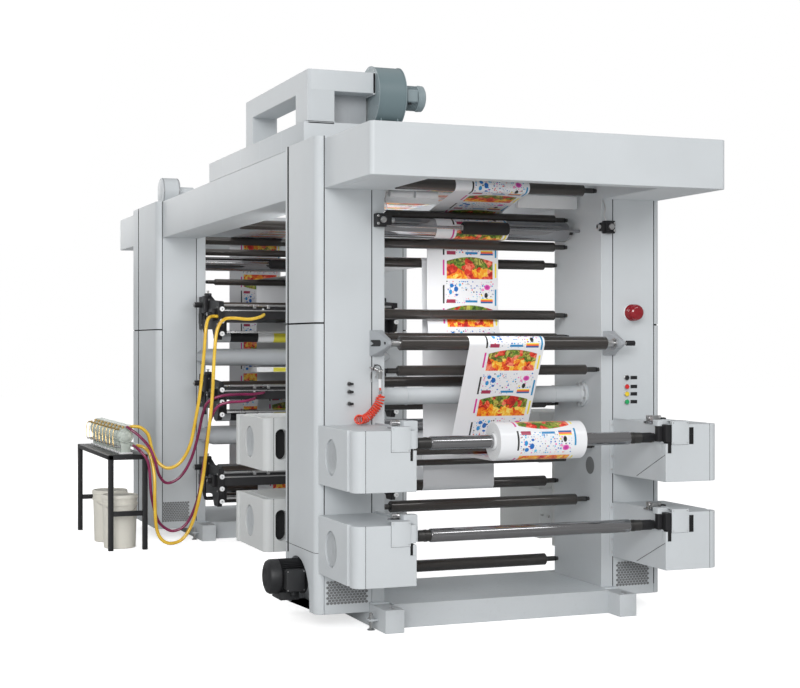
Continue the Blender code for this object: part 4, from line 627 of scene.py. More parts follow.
def make_finishes(sizes):
    """Every finish of the press by its plain name."""
    paint = tuple(sizes.paint)
    F.update(
        paint=finish("pale_grey_paint", "paint", paint, 0.50, 0.05, Grime=0.12),
        lid=finish("canopy_paint", "paint", tuple(c * 1.01 for c in paint), 0.46, 0.04, Grime=0.05),
        cream=finish("cream_paint", "paint", (0.585, 0.60, 0.60), 0.48, 0.05, Grime=0.1),
        fan=finish("fan_paint", "paint", (0.15, 0.205, 0.22), 0.42, 0.08, Grime=0.15),
        roller=finish("dark_anodised", "lathe", tuple(sizes.roller), 0.30, 0.10, 0.0002, 0.35, Streak=0.5,
                      Coat_Weight=0.9,
                      Coat_Roughness=0.07),
        journal=finish("dark_journal", "lathe", (0.10, 0.098, 0.095), 0.38, 0.1, 0.0002, 0.9, Streak=0.4),
        steel=finish("bright_steel", "lathe", (0.40, 0.40, 0.41), 0.12, 0.05, 0.0001, 1.0, Streak=0.25),
        zinc=finish("plated_steel", "grain", (0.60, 0.60, 0.60), 0.28, 0.05, 0.0002, 1.0, Scale=500.0,
                    Change=0.25),
        black=finish("black_steel", "grain", (0.018, 0.018, 0.020), 0.42, 0.08, 0.0003, 0.2, Scale=420.0,
                     Change=0.5),
        iron=finish("motor_cast", "grain", (0.020, 0.021, 0.023), 0.48, 0.2, 0.0006, 0.1, Scale=240.0,
                    Change=0.5),
        rubber=finish("black_rubber", "grain", (0.014, 0.014, 0.015), 0.62, 0.15, 0.0003, Scale=300.0,
                      Change=0.4),
        casting=finish("cast_bracket", "grain", (0.36, 0.38, 0.40), 0.42, 0.10, 0.0004, 0.0, Scale=260.0,
                       Change=0.15),
        dial=finish("dial_disc", "lathe", tuple(c * 1.02 for c in paint), 0.34, 0.05, 0.0002, 0.45,
                    Streak=0.3),
        fan_rim=finish("fan_rim_paint", "paint", (0.26, 0.32, 0.34), 0.40, 0.08, Grime=0.15),
        vent=finish("vent_cells", "grain", (0.17, 0.175, 0.18), 0.6, 0.05, 0.0003, Scale=300.0, Change=0.25),
        # Near-black painted shadow, put on the floors of seams, slots, gaps and openings where shade falls.
        void=finish("shadow_gap", "grain", (0.006, 0.006, 0.007), 0.8, 0.0, Scale=200.0, Change=0.2),
        plate=finish("plate_cylinder", "lathe", (0.24, 0.25, 0.27), 0.3, 0.05, 0.0002, 0.6, Streak=0.3),
        anilox=finish("engraved_steel", "lathe", (0.13, 0.105, 0.09), 0.34, 0.2, 0.0003, 0.8, Streak=0.6),
        dryer=finish("dryer_shell", "paint", (0.40, 0.42, 0.44), 0.3, 0.04, Grime=0.2),
        knob=finish("white_plastic", "grain", (0.78, 0.79, 0.80), 0.3, 0.03, 0.0002, Scale=300.0,
                    Change=0.05),
        gun=finish("black_plastic", "grain", (0.02, 0.02, 0.02), 0.4, 0.1, 0.0003, Scale=350.0, Change=0.3),
        amber=finish("yellow_panel", "grain", (0.66, 0.60, 0.05), 0.4, 0.05, 0.0003, Scale=250.0, Change=0.2),
        pump=finish("pump_paint", "paint", (0.50, 0.55, 0.50), 0.40, 0.1, Grime=0.35),
        brass=finish("brass", "grain", (0.66, 0.47, 0.20), 0.28, 0.05, 0.0002, 1.0, Scale=500.0, Change=0.3),
        pail=finish("pail_plastic", "grain", (0.72, 0.70, 0.63), 0.45, 0.05, 0.0003, Scale=200.0,
                    Change=0.12),
        lens=finish("red_lens", "grain", (0.24, 0.003, 0.010), 0.08, 0.0, Scale=200.0, Change=0.15,
                    Coat_Weight=0.8),
        red=finish("red_button", "grain", (0.62, 0.02, 0.02), 0.35, 0.0, Scale=200.0, Change=0.1),
        green=finish("green_button", "grain", (0.02, 0.38, 0.12), 0.35, 0.0, Scale=200.0, Change=0.1),
        amber_button=finish("yellow_button", "grain", (0.80, 0.58, 0.03), 0.35, 0.0, Scale=200.0, Change=0.1),
        coil=finish("red_hose", "grain", (0.78, 0.055, 0.020), 0.28, 0.0, Scale=200.0, Change=0.15,
                    Coat_Weight=0.5),
        # A lighter copy of the housing paint: painted light on the base's tops and painted highlights on the
        # folded seam bands.
        platform=finish("platform_paint", "paint", (0.68, 0.73, 0.76), 0.42, 0.1, Grime=0.30),
        film=film_finish(),
        wound=layered_finish(),
        yellow=wet_finish("yellow_ink_hose", (0.80, 0.54, 0.06), (0.62, 0.36, 0.02)),
        magenta=wet_finish("magenta_ink_hose", (0.26, 0.020, 0.09), (0.13, 0.006, 0.045)),
    )


# Housings
PANEL_SEAMS = (0.816, 1.115)
ARCH_FOOT = 0.147
ARCH_RADIUS = 0.243
ARCH_DEPTH = 0.12
FOOT_INNER = 0.8316
FOOT_TOP = 0.1443


def column_ring(side, front, depth, z, strip=0.0, shrink=0.0, seam=0.0, foot=False, arch=0.0):
    """One level of a column's plan: a rectangle with round outer corners, seams as small notches,
    the motor's arch as a notch of its own in the outer side, and the inner edge held back at the foot."""
    r, lip, half, deep = 0.053, 0.002, 0.0030, 0.007
    back = front + depth
    points = [(INNER, front + lip), (INNER + lip, front)]
    for x in PANEL_SEAMS:
        points += [(x - half, front), (x - half * 0.6, front + deep), (x + half * 0.6, front + deep),
                   (x + half, front)]
    points += arc((OUTER - r, front + r), r, -84, 0, 9).tolist()
    if arch is not None:
        inward = OUTER - (ARCH_DEPTH if arch > 0 else 0.0)
        points += [(OUTER, MOTOR_Y - arch), (inward, MOTOR_Y - arch), (inward, MOTOR_Y + arch),
                   (OUTER, MOTOR_Y + arch)]
    y, groove = front + strip, OUTER - 0.018
    points += [(OUTER, y - 0.015), (groove, y - 0.013), (groove, y + 0.013), (OUTER, y + 0.015)]
    points += arc((OUTER - r, back - r), r, 0, 90, 9).tolist()
    points += [(INNER + lip, back), (INNER, back - lip)]
    outline = np.array(points)
    if shrink:
        outline = inset(outline, shrink)
    if seam:
        outline = np.where(outline[:, :1] > PANEL_SEAMS[1] + 0.0025, inset(outline, seam), outline)
    if foot:
        outline[:, 0] = np.maximum(outline[:, 0], FOOT_INNER)
    outline[:, 0] *= side
    return along("Z", outline, z)


def column_levels(piece, side, front, depth, strip, arched=False):
    """Stacks the column's rings from foot to top; the floors of its seams and of the groove by its corner
    strip are painted near black as painted shadow.

    The arched column has the motor's arch, half a circle on straight legs, and a seam at its skirt.
    """
    start, flat = (ARCH_RADIUS, 0.0) if arched else (None, None)

    def ring(z, arch=flat, **more):
        return column_ring(side, front, depth, z, strip, arch=arch, **more)

    def seam(z, rim, half, deep):
        return [ring(z - rim), ring(z - half, seam=deep), ring(z + half, seam=deep), ring(z + rim)]

    rings = [ring(FLOOR_GAP, shrink=0.003, foot=True, arch=start),
             ring(FLOOR_GAP + 0.003, foot=True, arch=start),
             ring(FOOT_TOP, foot=True, arch=start), ring(FOOT_TOP, arch=start)]
    seams = []
    if arched:
        rise = ARCH_RADIUS * np.sin(np.linspace(0, math.pi / 2, 15))
        rings += [ring(ARCH_FOOT + k, math.sqrt(max(ARCH_RADIUS * ARCH_RADIUS - k * k, 0.0))) for k in rise]
        seams.append(len(rings))
        rings += seam(SKIRT, 0.0016, 0.001, 0.003)
    above_arch = seams[0] if arched else len(rings)
    seams.append(len(rings))
    rings += seam(SEAM, 0.005, 0.004, 0.008)
    rings += [ring(HEAD - 0.003), ring(HEAD, shrink=0.003)]
    dark = np.zeros((len(rings) - 1, len(rings[0])), int)
    void = piece.number("void")
    panel_seams, groove = (2, 3, 4, 6, 7, 8), 24 if arched else 20
    # Painted shadow: the floors of the front panel seams and of the corner strip's groove are painted near
    # black.
    dark[above_arch - 1:, [*panel_seams, groove, groove + 1, groove + 2]] = void
    # Painted shadow on the floors of the level seams as well.
    for row in seams:
        dark[row:row + 3, 10:-2] = void
    piece.loft(rings, dark)


def hex_vent(piece, x, y, columns, rows, z=0.150):
    """A honeycomb of short six-sided plugs set in the panel, every other row shifted."""
    a = np.arange(6) * math.pi / 3 + math.pi / 6
    cell = np.stack((np.cos(a) * 0.0112, np.sin(a) * 0.0092), axis=1)
    for row in range(rows):
        for column in range(columns - row % 2):
            outline = cell + (x + (column + 0.5 * (row % 2)) * 0.0220, z + row * 0.0155)
            piece.loft([along("Y", outline, y + 0.002), along("Y", outline, y - 0.0006)], "vent")


def bracket(piece, side):
    """The cast nose that carries the front roller: it tapers from a broad foot to a round tip, and has a slot
    and a screw on its outer face; the slot is a black plate, painted shade for its dark inside."""
    rings = []
    for y, near, far, half in (
        (0.004, 0.745, 0.830, 0.078), (-0.008, 0.745, 0.830, 0.078), (-0.020, 0.750, 0.827, 0.076),
        (-0.070, 0.758, 0.812, 0.060), (-0.120, 0.760, 0.799, 0.044), (-0.165, 0.762, 0.794, 0.030),
        (-0.190, 0.763, 0.792, 0.020), (-0.203, 0.765, 0.790, 0.011), (-0.208, 0.768, 0.787, 0.004),
    ):
        level = (FRONT_ROLLER_Z - half, FRONT_ROLLER_Z + half)
        rings.append(along("Y", rounded(span(side, near, far), level, 0.006, 3), y))
    piece.loft(rings, "casting")
    # Painted shade: a thin black plate on the outer face stands for the slot's dark inside.
    slot = rounded((-0.114, -0.012), (FRONT_ROLLER_Z - 0.019, FRONT_ROLLER_Z + 0.019), 0.014, 6)
    face = np.interp(slot[:, 0], (-0.120, -0.070, -0.020), (0.799, 0.812, 0.827))
    piece.loft([np.stack((side * (face + lift), *slot.T), axis=1) for lift in (-0.004, 0.0012)], "black")
    roller = (-0.130, FRONT_ROLLER_Z)
    piece.turned([(side * 0.790, 0.0085), (side * 0.7965, 0.0085), (side * 0.7985, 0.0065)],
                 "X", (-0.168, FRONT_ROLLER_Z), 14, "black")
    piece.turned([(side * 0.765, 0.030), (side * 0.752, 0.030), (side * 0.750, 0.027)], "X", roller, 28,
                 "zinc")
    if side > 0:
        piece.bar(0.785, 0.842, 0.010, "X", roller, 14, "zinc")
        piece.turned([(0.840, 0.0145), (0.842, 0.0165), (0.896, 0.0165), (0.899, 0.0140)], "X", roller, 20,
                     "black")
    piece.turned([(side * 0.764, 0.009), (side * 0.757, 0.009), (side * 0.756, 0.007)],
                 "X", (-0.075, FRONT_ROLLER_Z - 0.025), 12, "zinc")


def front_fittings(piece, side):
    """What sits on a front column: the front roller's bracket and the nip's clamp with its knob."""
    bracket(piece, side)
    piece.box(span(side, INNER + 0.006, INNER + 0.070), (-0.055, 0.004), (NIP_Z - 0.040, NIP_Z + 0.040),
              0.003, "black")
    piece.box(span(side, INNER + 0.012, INNER + 0.050), (-0.062, -0.050), (NIP_Z - 0.030, NIP_Z + 0.030),
              0.003, "black")
    for z in (NIP_Z - 0.023, NIP_Z + 0.023):
        piece.turned([(-0.060, 0.008), (-0.066, 0.008), (-0.067, 0.006)], "Y", (side * 0.796, z), 10, "zinc")
    piece.turned([(-0.060, 0.017), (-0.066, 0.019), (-0.078, 0.019), (-0.081, 0.016)],
                 "Y", (side * 0.768, NIP_Z), 24, "zinc")
    piece.box(span(side, INNER - 0.030, INNER + 0.010), (-0.048, -0.018), (NIP_Z - 0.027, NIP_Z + 0.027),
              0.004, "black")
    piece.turned([(side * (INNER - 0.028), 0.016), (side * (INNER - 0.046), 0.016),
                  (side * (INNER - 0.048), 0.013)],
                 "X", (-0.033, NIP_Z), 20, "zinc")
    links = smooth_line([(side * 0.755, -0.030, 2.462), (side * 0.735, -0.036, 2.500),
                         (side * 0.745, -0.034, 2.545),
                         (side * 0.728, -0.030, 2.600)], 25)
    for x, y, z in links[1:-1]:
        piece.turned(same_ends(z - 0.0045, z + 0.0045, [(0, 0.002), (0.0025, 0.0045)]), "Z", (x, y), 8,
                     "zinc")


def make_columns():
    """The four housings with their seams, vents, brackets, static bars and small fittings."""
    left = Piece("paint")
    column_levels(left, -1, 0.0, FRONT_DEPTH, 0.556, True)
    front_fittings(left, -1)
    hex_vent(left, -1.092, 0.0, 12, 9)
    left.turned([(-0.75, 0.033), (0.296, 0.033), (0.300, 0.030)], "X", (0.495, 1.445), 32, "roller")
    air_gun(left)
    for z in (1.448, 1.401, 1.330):
        elbow(left, -0.960, z)
    left.make("front_left_housing", ["front_left_column"], "paint")
    right = Piece("paint")
    column_levels(right, 1, 0.0, FRONT_DEPTH, 0.556)
    front_fittings(right, 1)
    hex_vent(right, 0.850, 0.0, 11, 10)
    right.turned([(-0.7335, 0.017), (-0.732, 0.020), (0.75, 0.020)], "X", (0.500, 0.925), 24, "roller")
    control_buttons(right)
    right.turned([(0.7345, 0.056), (0.7332, 0.056), (0.7330, 0.055)], "X", (0.150, 0.905), 40, "vent")
    right.make("front_right_housing", ["front_right_column"], "paint")
    for word, side in (("left", -1), ("right", 1)):
        rear = Piece("paint")
        column_levels(rear, side, REAR_START, REAR_DEPTH, 0.766)
        if side < 0:
            hex_vent(rear, -1.108, REAR_START, 11, 11, 0.155)
            small_blower(rear)
        else:
            rear_draw(rear)
        rear.make(f"rear_{word}_housing", [f"rear_{word}_column"], "paint")


def rear_draw(piece):
    """The rear frame's draw drum, its nip on a thin rod and the guide over it."""
    low, high = -INNER + 0.0005, INNER + 0.015
    z, r, rod = 2.402, 0.0625, 0.0098
    piece.turned([(low, 0.020), (low + 0.030, 0.020), (low + 0.031, r - 0.006), (low + 0.036, r),
                  (high - 0.045, r), (high - 0.040, r - 0.006), (high - 0.039, 0.020), (high, 0.020)],
                 "X", (4.750, z), 64, "steel")
    piece.turned([(low, 0.014), (low + 0.040, 0.014), (low + 0.041, 0.028), (low + 0.044, 0.030),
                  (high - 0.054, 0.030), (high - 0.051, 0.028), (high - 0.050, 0.014), (high, 0.014)],
                 "X", (4.690, 2.502), 40, "roller")
    nip = (4.6448, z)
    piece.bar(low, high, rod, "X", nip, 20, "steel")
    piece.turned(same_ends(-0.096, 0.217, [(0, 0.016), (0, 0.036), (0.008, 0.0413)]), "X", nip, 48, "rubber")


def elbow(piece, x, z):
    """A small air fitting: a washer and a nut against the panel, a body and a short push-in collar."""
    piece.turned([(0.002, 0.014), (-0.002, 0.014), (-0.003, 0.013)], "Y", (x, z), 20, "zinc")
    piece.turned([(-0.002, 0.0105), (-0.012, 0.0105), (-0.012, 0.008), (-0.020, 0.008)], "Y", (x, z), 6,
                 "black")
    piece.turned([(-0.018, 0.010), (-0.034, 0.009), (-0.036, 0.006)], "Y", (x, z), 14, "black")
    piece.turned([(x + 0.004, 0.007), (x + 0.018, 0.007), (x + 0.019, 0.0055)], "X", (-0.026, z), 12, "black")


def air_gun(piece):
    """The air gun hung on its hook by a short chain, and the thin line that drops to the curly hose."""
    x, y = -0.774, -0.034
    piece.tube(smooth_line([(x, y, 1.386), (x, y, 1.41), (x - 0.002, y, 1.430)], 8), 0.0055, 10, "coil")
    piece.turned([(1.386, 0.010), (1.398, 0.011), (1.400, 0.008), (1.408, 0.008)], "Z", (x, y), 12, "zinc")
    piece.turned([(1.424, 0.0095), (1.470, 0.0095), (1.472, 0.012), (1.480, 0.012)], "Z", (x - 0.003, y), 14,
                 "knob")
    grip = smooth_line([(x - 0.004, y, 1.478), (x - 0.004, y - 0.004, 1.500), (x - 0.010, y - 0.006, 1.522)],
                       12)
    piece.tube(grip, 0.0135, 14, "zinc")
    nose = smooth_line([(x + 0.010, y - 0.004, 1.520), (x - 0.018, y - 0.004, 1.530), (x - 0.042, y, 1.540),
                        (x - 0.068, y, 1.546)], 14)
    piece.tube(nose, np.linspace(0.0130, 0.0050, 14), 12, "zinc")
    lever = smooth_line([(x - 0.014, y - 0.012, 1.532), (x - 0.030, y - 0.018, 1.508),
                         (x - 0.036, y - 0.014, 1.480)], 12)
    piece.tube(lever, 0.0040, 8, "zinc")
    hook = arc((x - 0.024, 1.536), 0.024, -60, 200, 16)
    piece.tube(along("Y", hook, y - 0.012), 0.0034, 8, "black")
    piece.tube([(x - 0.024, k, 1.560) for k in (y - 0.012, -0.006, 0.004)], 0.0034, 8, "black")
    for px, py, pz in smooth_line([(x - 0.052, y, 1.532), (x - 0.062, y, 1.498), (x - 0.056, y, 1.462)], 10):
        piece.turned([(pz - 0.0045, 0.0018), (pz, 0.0042), (pz + 0.0045, 0.0018)], "Z", (px, py), 8, "zinc")


def control_buttons(piece):
    """Four push buttons on the right column, each with a bare dark plate beside it."""
    x = 0.915
    for z, tint in ((1.470, "black"), (1.413, "red"), (1.366, "amber_button"), (1.316, "green")):
        piece.turned([(0.002, 0.018), (-0.006, 0.018), (-0.007, 0.016)], "Y", (x, z), 24, "zinc")
        piece.turned([(-0.005, 0.0145), (-0.014, 0.0145), (-0.016, 0.012)], "Y", (x, z), 24, tint)
        piece.box((x + 0.030, x + 0.078), (-0.0015, 0.002), (z - 0.011, z + 0.011), 0.0006, "black")


def small_blower(piece):
    """The blower on the rear left column: a round casing with two rims, and a motor."""
    center, r = (4.800, HEAD + 0.110), 0.130
    piece.turned([(-1.060, r * 0.45), (-1.058, r * 0.50), (-1.056, r * 0.94), (-1.050, r), (-0.910, r),
                  (-0.902, r * 0.94), (-0.900, r * 0.4)], "X", center, 40)
    for x in (-1.046, -0.914):
        piece.turned(same_ends(x - 0.003, x + 0.003, [(0, r * 0.9), (0, r)]), "X", center, 40, "zinc")
    piece.turned([(-0.905, 0.055), (-0.765, 0.055), (-0.757, 0.045)], "X", center, 24)


def make_canopies():
    """The two canopies: bent sheet lids with round far corners, open underneath between their borders."""
    left, right, c = -1.113, 1.142, 0.030
    under, top = 2.606, 2.900
    rear_wall = REAR_START + REAR_DEPTH + 0.0003
    for name, wall, direction, reach in (("front_canopy", -0.0003, -1, 0.791),
                                         ("rear_canopy", rear_wall, 1, 0.910)):
        far = wall + direction * reach
        plan = np.concatenate((
            [(right, wall)], arc((right - c, far - direction * c), c, 0, direction * 90, 8),
            arc((left + c, far - direction * c), c, direction * 90, direction * 180, 8), [(left, wall)],
        ))
        made = Piece("lid").slab(plan, "Z", under, top, 0.0025).make(name + "_lid", [name], "paint")
        carve(made, Piece().box((-INNER, INNER), (wall - direction * 0.05, far - direction * 0.10),
                                (2.5, 2.870), 0.001))
        trim = Piece("lid")
        if direction < 0:
            trim.box((-INNER + 0.001, INNER - 0.001), (-0.02, 0.46), (2.871, 2.899), 0.001)
            for x in (-0.61, -0.44):
                trim.turned(same_ends(x, x + 0.151, [(0, 0.020), (0.001, 0.022)]), "X", (0.250, 2.615), 24,
                            "knob")
            for x in ((-0.640, -0.275), (0.275, 0.700)):
                trim.box(x, (0.262, 0.290), (2.560, 2.640), 0.003, "knob")
        for x in ((-1.05, -0.745), (0.745, 1.08)):
            trim.box(x, (wall + direction * 0.008, far - direction * 0.05), (2.6045, 2.6075), 0.001)
        trim.make(name + "_trim", slot="paint")


def make_overhead():
    """Side beams with folded seams, drawn as bands of a lighter paint that is painted highlight; the hood on
    top with the same bands, its duct with flanges, and the big blower.
    """
    for word, side in (("left", -1), ("right", 1)):
        beam = Piece("paint")
        beam.slab(rounded(span(side, 0.790, 1.111), (2.603, HEAD), 0.004, 3), "Y",
                  FRONT_DEPTH + 0.0003, REAR_START - 0.0003, 0.002)
        band = rounded(span(side, 0.7885, 1.1105), (2.604, HEAD - 0.001), 0.004, 3)
        # Painted highlight: the seam bands take the lighter copy of the paint.
        for y in (1.60, 2.55, 3.50):
            beam.slab(band, "Y", y - 0.0015, y + 0.0015, 0.0004, "platform")
        beam.make(f"{word}_side_beam_skin", [f"{word}_side_beam"], "paint")
    hood = Piece("paint")
    low, high = HEAD + 0.0003, HEAD + 0.1433
    hood.box((-1.110, 1.110), (0.416, 2.810), (low, high), 0.003)
    # Painted highlight: the hood's seam bands take the lighter copy of the paint.
    for y in (0.90, 1.40, 1.90, 2.40):
        hood.box((-1.1105, 1.1105), (y - 0.001, y + 0.001), (low + 0.002, high + 0.0006), 0.0003, "platform")
    duct_shape(hood, high)
    hood.make("hood_and_duct", ["exhaust_hood"], "paint")
    blower(high)


def duct_shape(piece, base):
    """A square duct: a bridge along the left side and a run across the front to the blower's mouth."""
    top, under = base + 0.325, base + 0.195
    left, leg = -1.085, -0.909
    y0, y1 = 0.416, 1.846
    foot, width = base - 0.01, 0.176
    run = np.array([(y0, foot), (y0, top), (y1, top), (y1, foot), (y1 - width, foot), (y1 - width, under),
                    (y0 + 0.25, under), (y0 + 0.25, foot)])
    piece.slab(run, "X", left, leg, 0.003)
    piece.box((left + 0.020, -0.6385), (y0 - 0.0004, y0 + 0.25), (under, top + 0.0003), 0.003)
    piece.box((-0.655, -0.6386), (y0 - 0.0004, y0 + 0.256), (under - 0.006, top), 0.0015)
    # The blower's outlet chute under the run is given a darker grey: painted shade.
    piece.box((leg + 0.045, -0.650), (y0 + 0.14, y0 + 0.24), (base - 0.001, under + 0.004), 0.003, "dryer")
    for y in ((y1 - width - 0.006, y1), (y0, y0 + 0.256)):
        piece.box((left, leg + 0.006), y, (base - 0.001, base + 0.006), 0.0015)


def blower(base):
    """The big blower: a scroll that widens with its angle, side plates, inlet, foot and finned motor."""
    fan = Piece("fan")
    y, z, face, big = 0.541, base + 0.200, -0.6377, 0.200
    right = face + 0.190
    a = np.radians(np.linspace(-90, 270, 72, endpoint=False))
    grow = 0.86 + 0.14 * np.linspace(0, 1, 72, endpoint=False)
    scroll = np.stack((np.cos(a), np.sin(a)), axis=1) * (big * grow)[:, None]
    fan.loft([along("X", scroll * size + (y, z), x) for x, size in (
        (face + 0.006, 0.94), (face + 0.007, 0.975), (right - 0.007, 0.975), (right - 0.006, 0.94))])
    for x in (face + 0.002, right - 0.007):
        fan.loft([along("X", scroll + (y, z), x), along("X", scroll + (y, z), x + 0.004)], "fan_rim")
    fan.turned([(right - 0.004, 0.085), (right + 0.010, 0.085), (right + 0.012, 0.078),
                (right + 0.012, 0.0775)],
               "X", (y, z), 40)
    motor = [(0.008, 0.090), (0.014, 0.090), (0.015, 0.078)]
    for x in 0.022 + 0.010 * np.arange(10):
        motor += [(x, 0.080), (x + 0.002, 0.071), (x + 0.005, 0.071), (x + 0.007, 0.080)]
    motor += [(0.130, 0.080), (0.136, 0.084), (0.166, 0.082), (0.174, 0.070), (0.175, 0.030)]
    fan.turned([(right + x, r) for x, r in motor], "X", (y, z), 40, "fan_rim")
    fan.box((right + 0.035, right + 0.105), (y - 0.106, y - 0.055), (z - 0.040, z + 0.040), 0.005, "fan_rim")
    fan.box((right + 0.039, right + 0.101), (y - 0.1075, y - 0.100), (z - 0.036, z + 0.036), 0.003, "fan_rim")
    fan.bar(z - 0.052, z - 0.035, 0.010, "Z", (right + 0.06, y - 0.075), 12, "black")
    fan.box((face + 0.03, right - 0.03), (y - 0.13, y + 0.13), (base + 0.0005, base + 0.012), 0.002)
    for k in (-1, 1):
        leg = np.array([(y + k * 0.125, base + 0.008), (y + k * 0.095, base + 0.008),
                        (y + k * 0.05, z - 0.04),
                        (y + k * 0.09, z - 0.04)])
        for x in (face + 0.035, right - 0.045):
            fan.slab(leg, "X", x, x + 0.010, 0.001)
    for x in (face + 0.002, right - 0.003):
        for angle in np.radians(np.arange(0, 360, 30)):
            fan.bar(x - 0.002, x + 0.002, 0.0035, "X", (y + 0.180 * math.cos(angle),
                                                        z + 0.170 * math.sin(angle)),
                    6, "zinc")
    fan.make("exhaust_blower", ["exhaust_fan"], "fan")


def make_bases():
    """The floor frames: blocks with a lower seam, the cross beam, the plate to stand on and the pads under
    the columns, both in a lighter copy of the paint that is painted light on their tops, levelling feet.
    """
    for name, shift, depth in (("front_base", 0.0, FRONT_DEPTH), ("rear_base", 4.440, 1.060)):
        base = Piece("paint")
        back = shift + depth + 0.150
        base.box((-0.7225, 0.7225), (shift - 0.126, shift + 0.024), (0.0, 0.1435), 0.003)
        # Painted light: the top plate takes the lighter copy of the paint, as if lit from above.
        base.box((-0.7225, 0.7225), (shift - 0.106, back - 0.05), (0.124, 0.144), 0.002, "platform")
        for side in (-1, 1):
            base.box(span(side, 0.713, 0.831), (shift - 0.275, back), (0.0, 0.137), 0.003)
            pad = (shift - 0.05, shift + depth + 0.02)
            # Painted light on the pads' tops too.
            base.box(span(side, 0.717, 0.827), pad, (0.130, 0.144), 0.002, "platform")
            for y in (shift - 0.12, back - 0.06):
                level_foot(base, side, y)
            for y in (shift - 0.20, shift - 0.24):
                base.turned([(0.136, 0.010), (0.143, 0.010), (0.1437, 0.008)], "Z", (side * 0.772, y), 6,
                            "zinc")
        base.make(name + "_frame", [name], "paint")


def level_foot(piece, side, y):
    """A levelling foot: a lug on the block, a stud through it and a nut on each face of the lug."""
    center = (side * 0.864, y)
    piece.box(span(side, 0.826, 0.886), (y - 0.03, y + 0.03), (0.055, 0.067), 0.002)
    piece.turned([(0.0, 0.0105), (0.104, 0.0105), (0.105, 0.009)], "Z", center, 16, "zinc")
    for z in (0.067, 0.041):
        piece.bar(z, z + 0.014, 0.016, "Z", center, 6, "zinc")
    piece.turned([(0.0, 0.022), (0.006, 0.022), (0.012, 0.012)], "Z", center, 20, "zinc")


def arm_inner(side):
    """Where an arm's inner face is; the right arms stand a little further out."""
    return 0.818 if side > 0 else 0.783


def arm_outline(side):
    """A winding arm's plan: round outer front corner and a soft groove down its outer side."""
    c, front, x0 = 0.060, -0.644, arm_inner(side)
    x1 = x0 + 0.367
    seam = x1 - c - 0.003
    points = [(x0, -0.0003), (x0, front + 0.003), (x0 + 0.003, front), (seam - 0.0013, front),
              (seam - 0.001, front + 0.004), (seam + 0.001, front + 0.004), (seam + 0.0013, front)]
    points += arc((x1 - c, front + c), c, -88, 0, 12).tolist()
    points += arc((x1 + 0.004, -0.535), 0.023, -100, -260, 10).tolist()
    points.append((x1, -0.0003))
    return np.array(points) * (side, 1)


def housing(piece, outline, low):
    """A plan carried up to a housing's height, with the floor of the seam in its front painted near black as
    painted shadow.
    """
    dark = np.zeros((3, len(outline)), int)
    # Painted shadow: the seam's floor cells take the near-black finish.
    dark[:, 3:6] = piece.number("void")
    piece.slab(outline, "Z", low, low + HOUSING_HEIGHT, 0.0025, dark)


def make_arms():
    """The four winding arms: housings with a dial recess, a chuck notch with its cover, a cap and a latch."""
    for level, low, reel in (("lower", HOUSING_LOWS[0], LOWER_REEL_Z),
                             ("upper", HOUSING_LOWS[1], UPPER_REEL_Z)):
        high, middle = low + HOUSING_HEIGHT, low + HOUSING_HEIGHT / 2
        for word, side in (("left", -1), ("right", 1)):
            arm = Piece("paint")
            housing(arm, arm_outline(side), low)
            made = arm.make(f"{level}_{word}_arm_case", [f"{level}_{word}_winding_arm"], "paint")
            inner = arm_inner(side)
            dish = Piece().bar(*span(side, inner + 0.343, inner + 0.39), DIAL_RADIUS, "X", (-0.230, middle),
                               56)
            slot = Piece().box(span(side, inner - 0.02, inner + 0.039), (-0.664, -0.594),
                               (reel - 0.088, high + 0.02), 0.0005)
            carve(made, dish, slot)
            fit = Piece("paint")
            arm_details(fit, side, high, reel)
            if side > 0:
                right_arm_details(fit, inner, low, high)
            dish_disc(fit, side, inner + 0.343, (-0.230, middle))
            fit.make(f"{level}_{word}_arm_fittings", slot="paint")


def dish_disc(piece, side, x, center):
    """A plain dished disc at the bottom of a round recess: a flat rim, a shallow cone, a small hub."""
    steps = ((-0.001, 0.1040), (0.0100, 0.1035), (0.0160, 0.1000), (0.0165, 0.0900), (0.0150, 0.0870),
             (0.0020, 0.0260), (0.0030, 0.0220), (0.0030, 0.001))
    piece.turned([(side * (x + out), r) for out, r in steps], "X", center, 64, "dial")


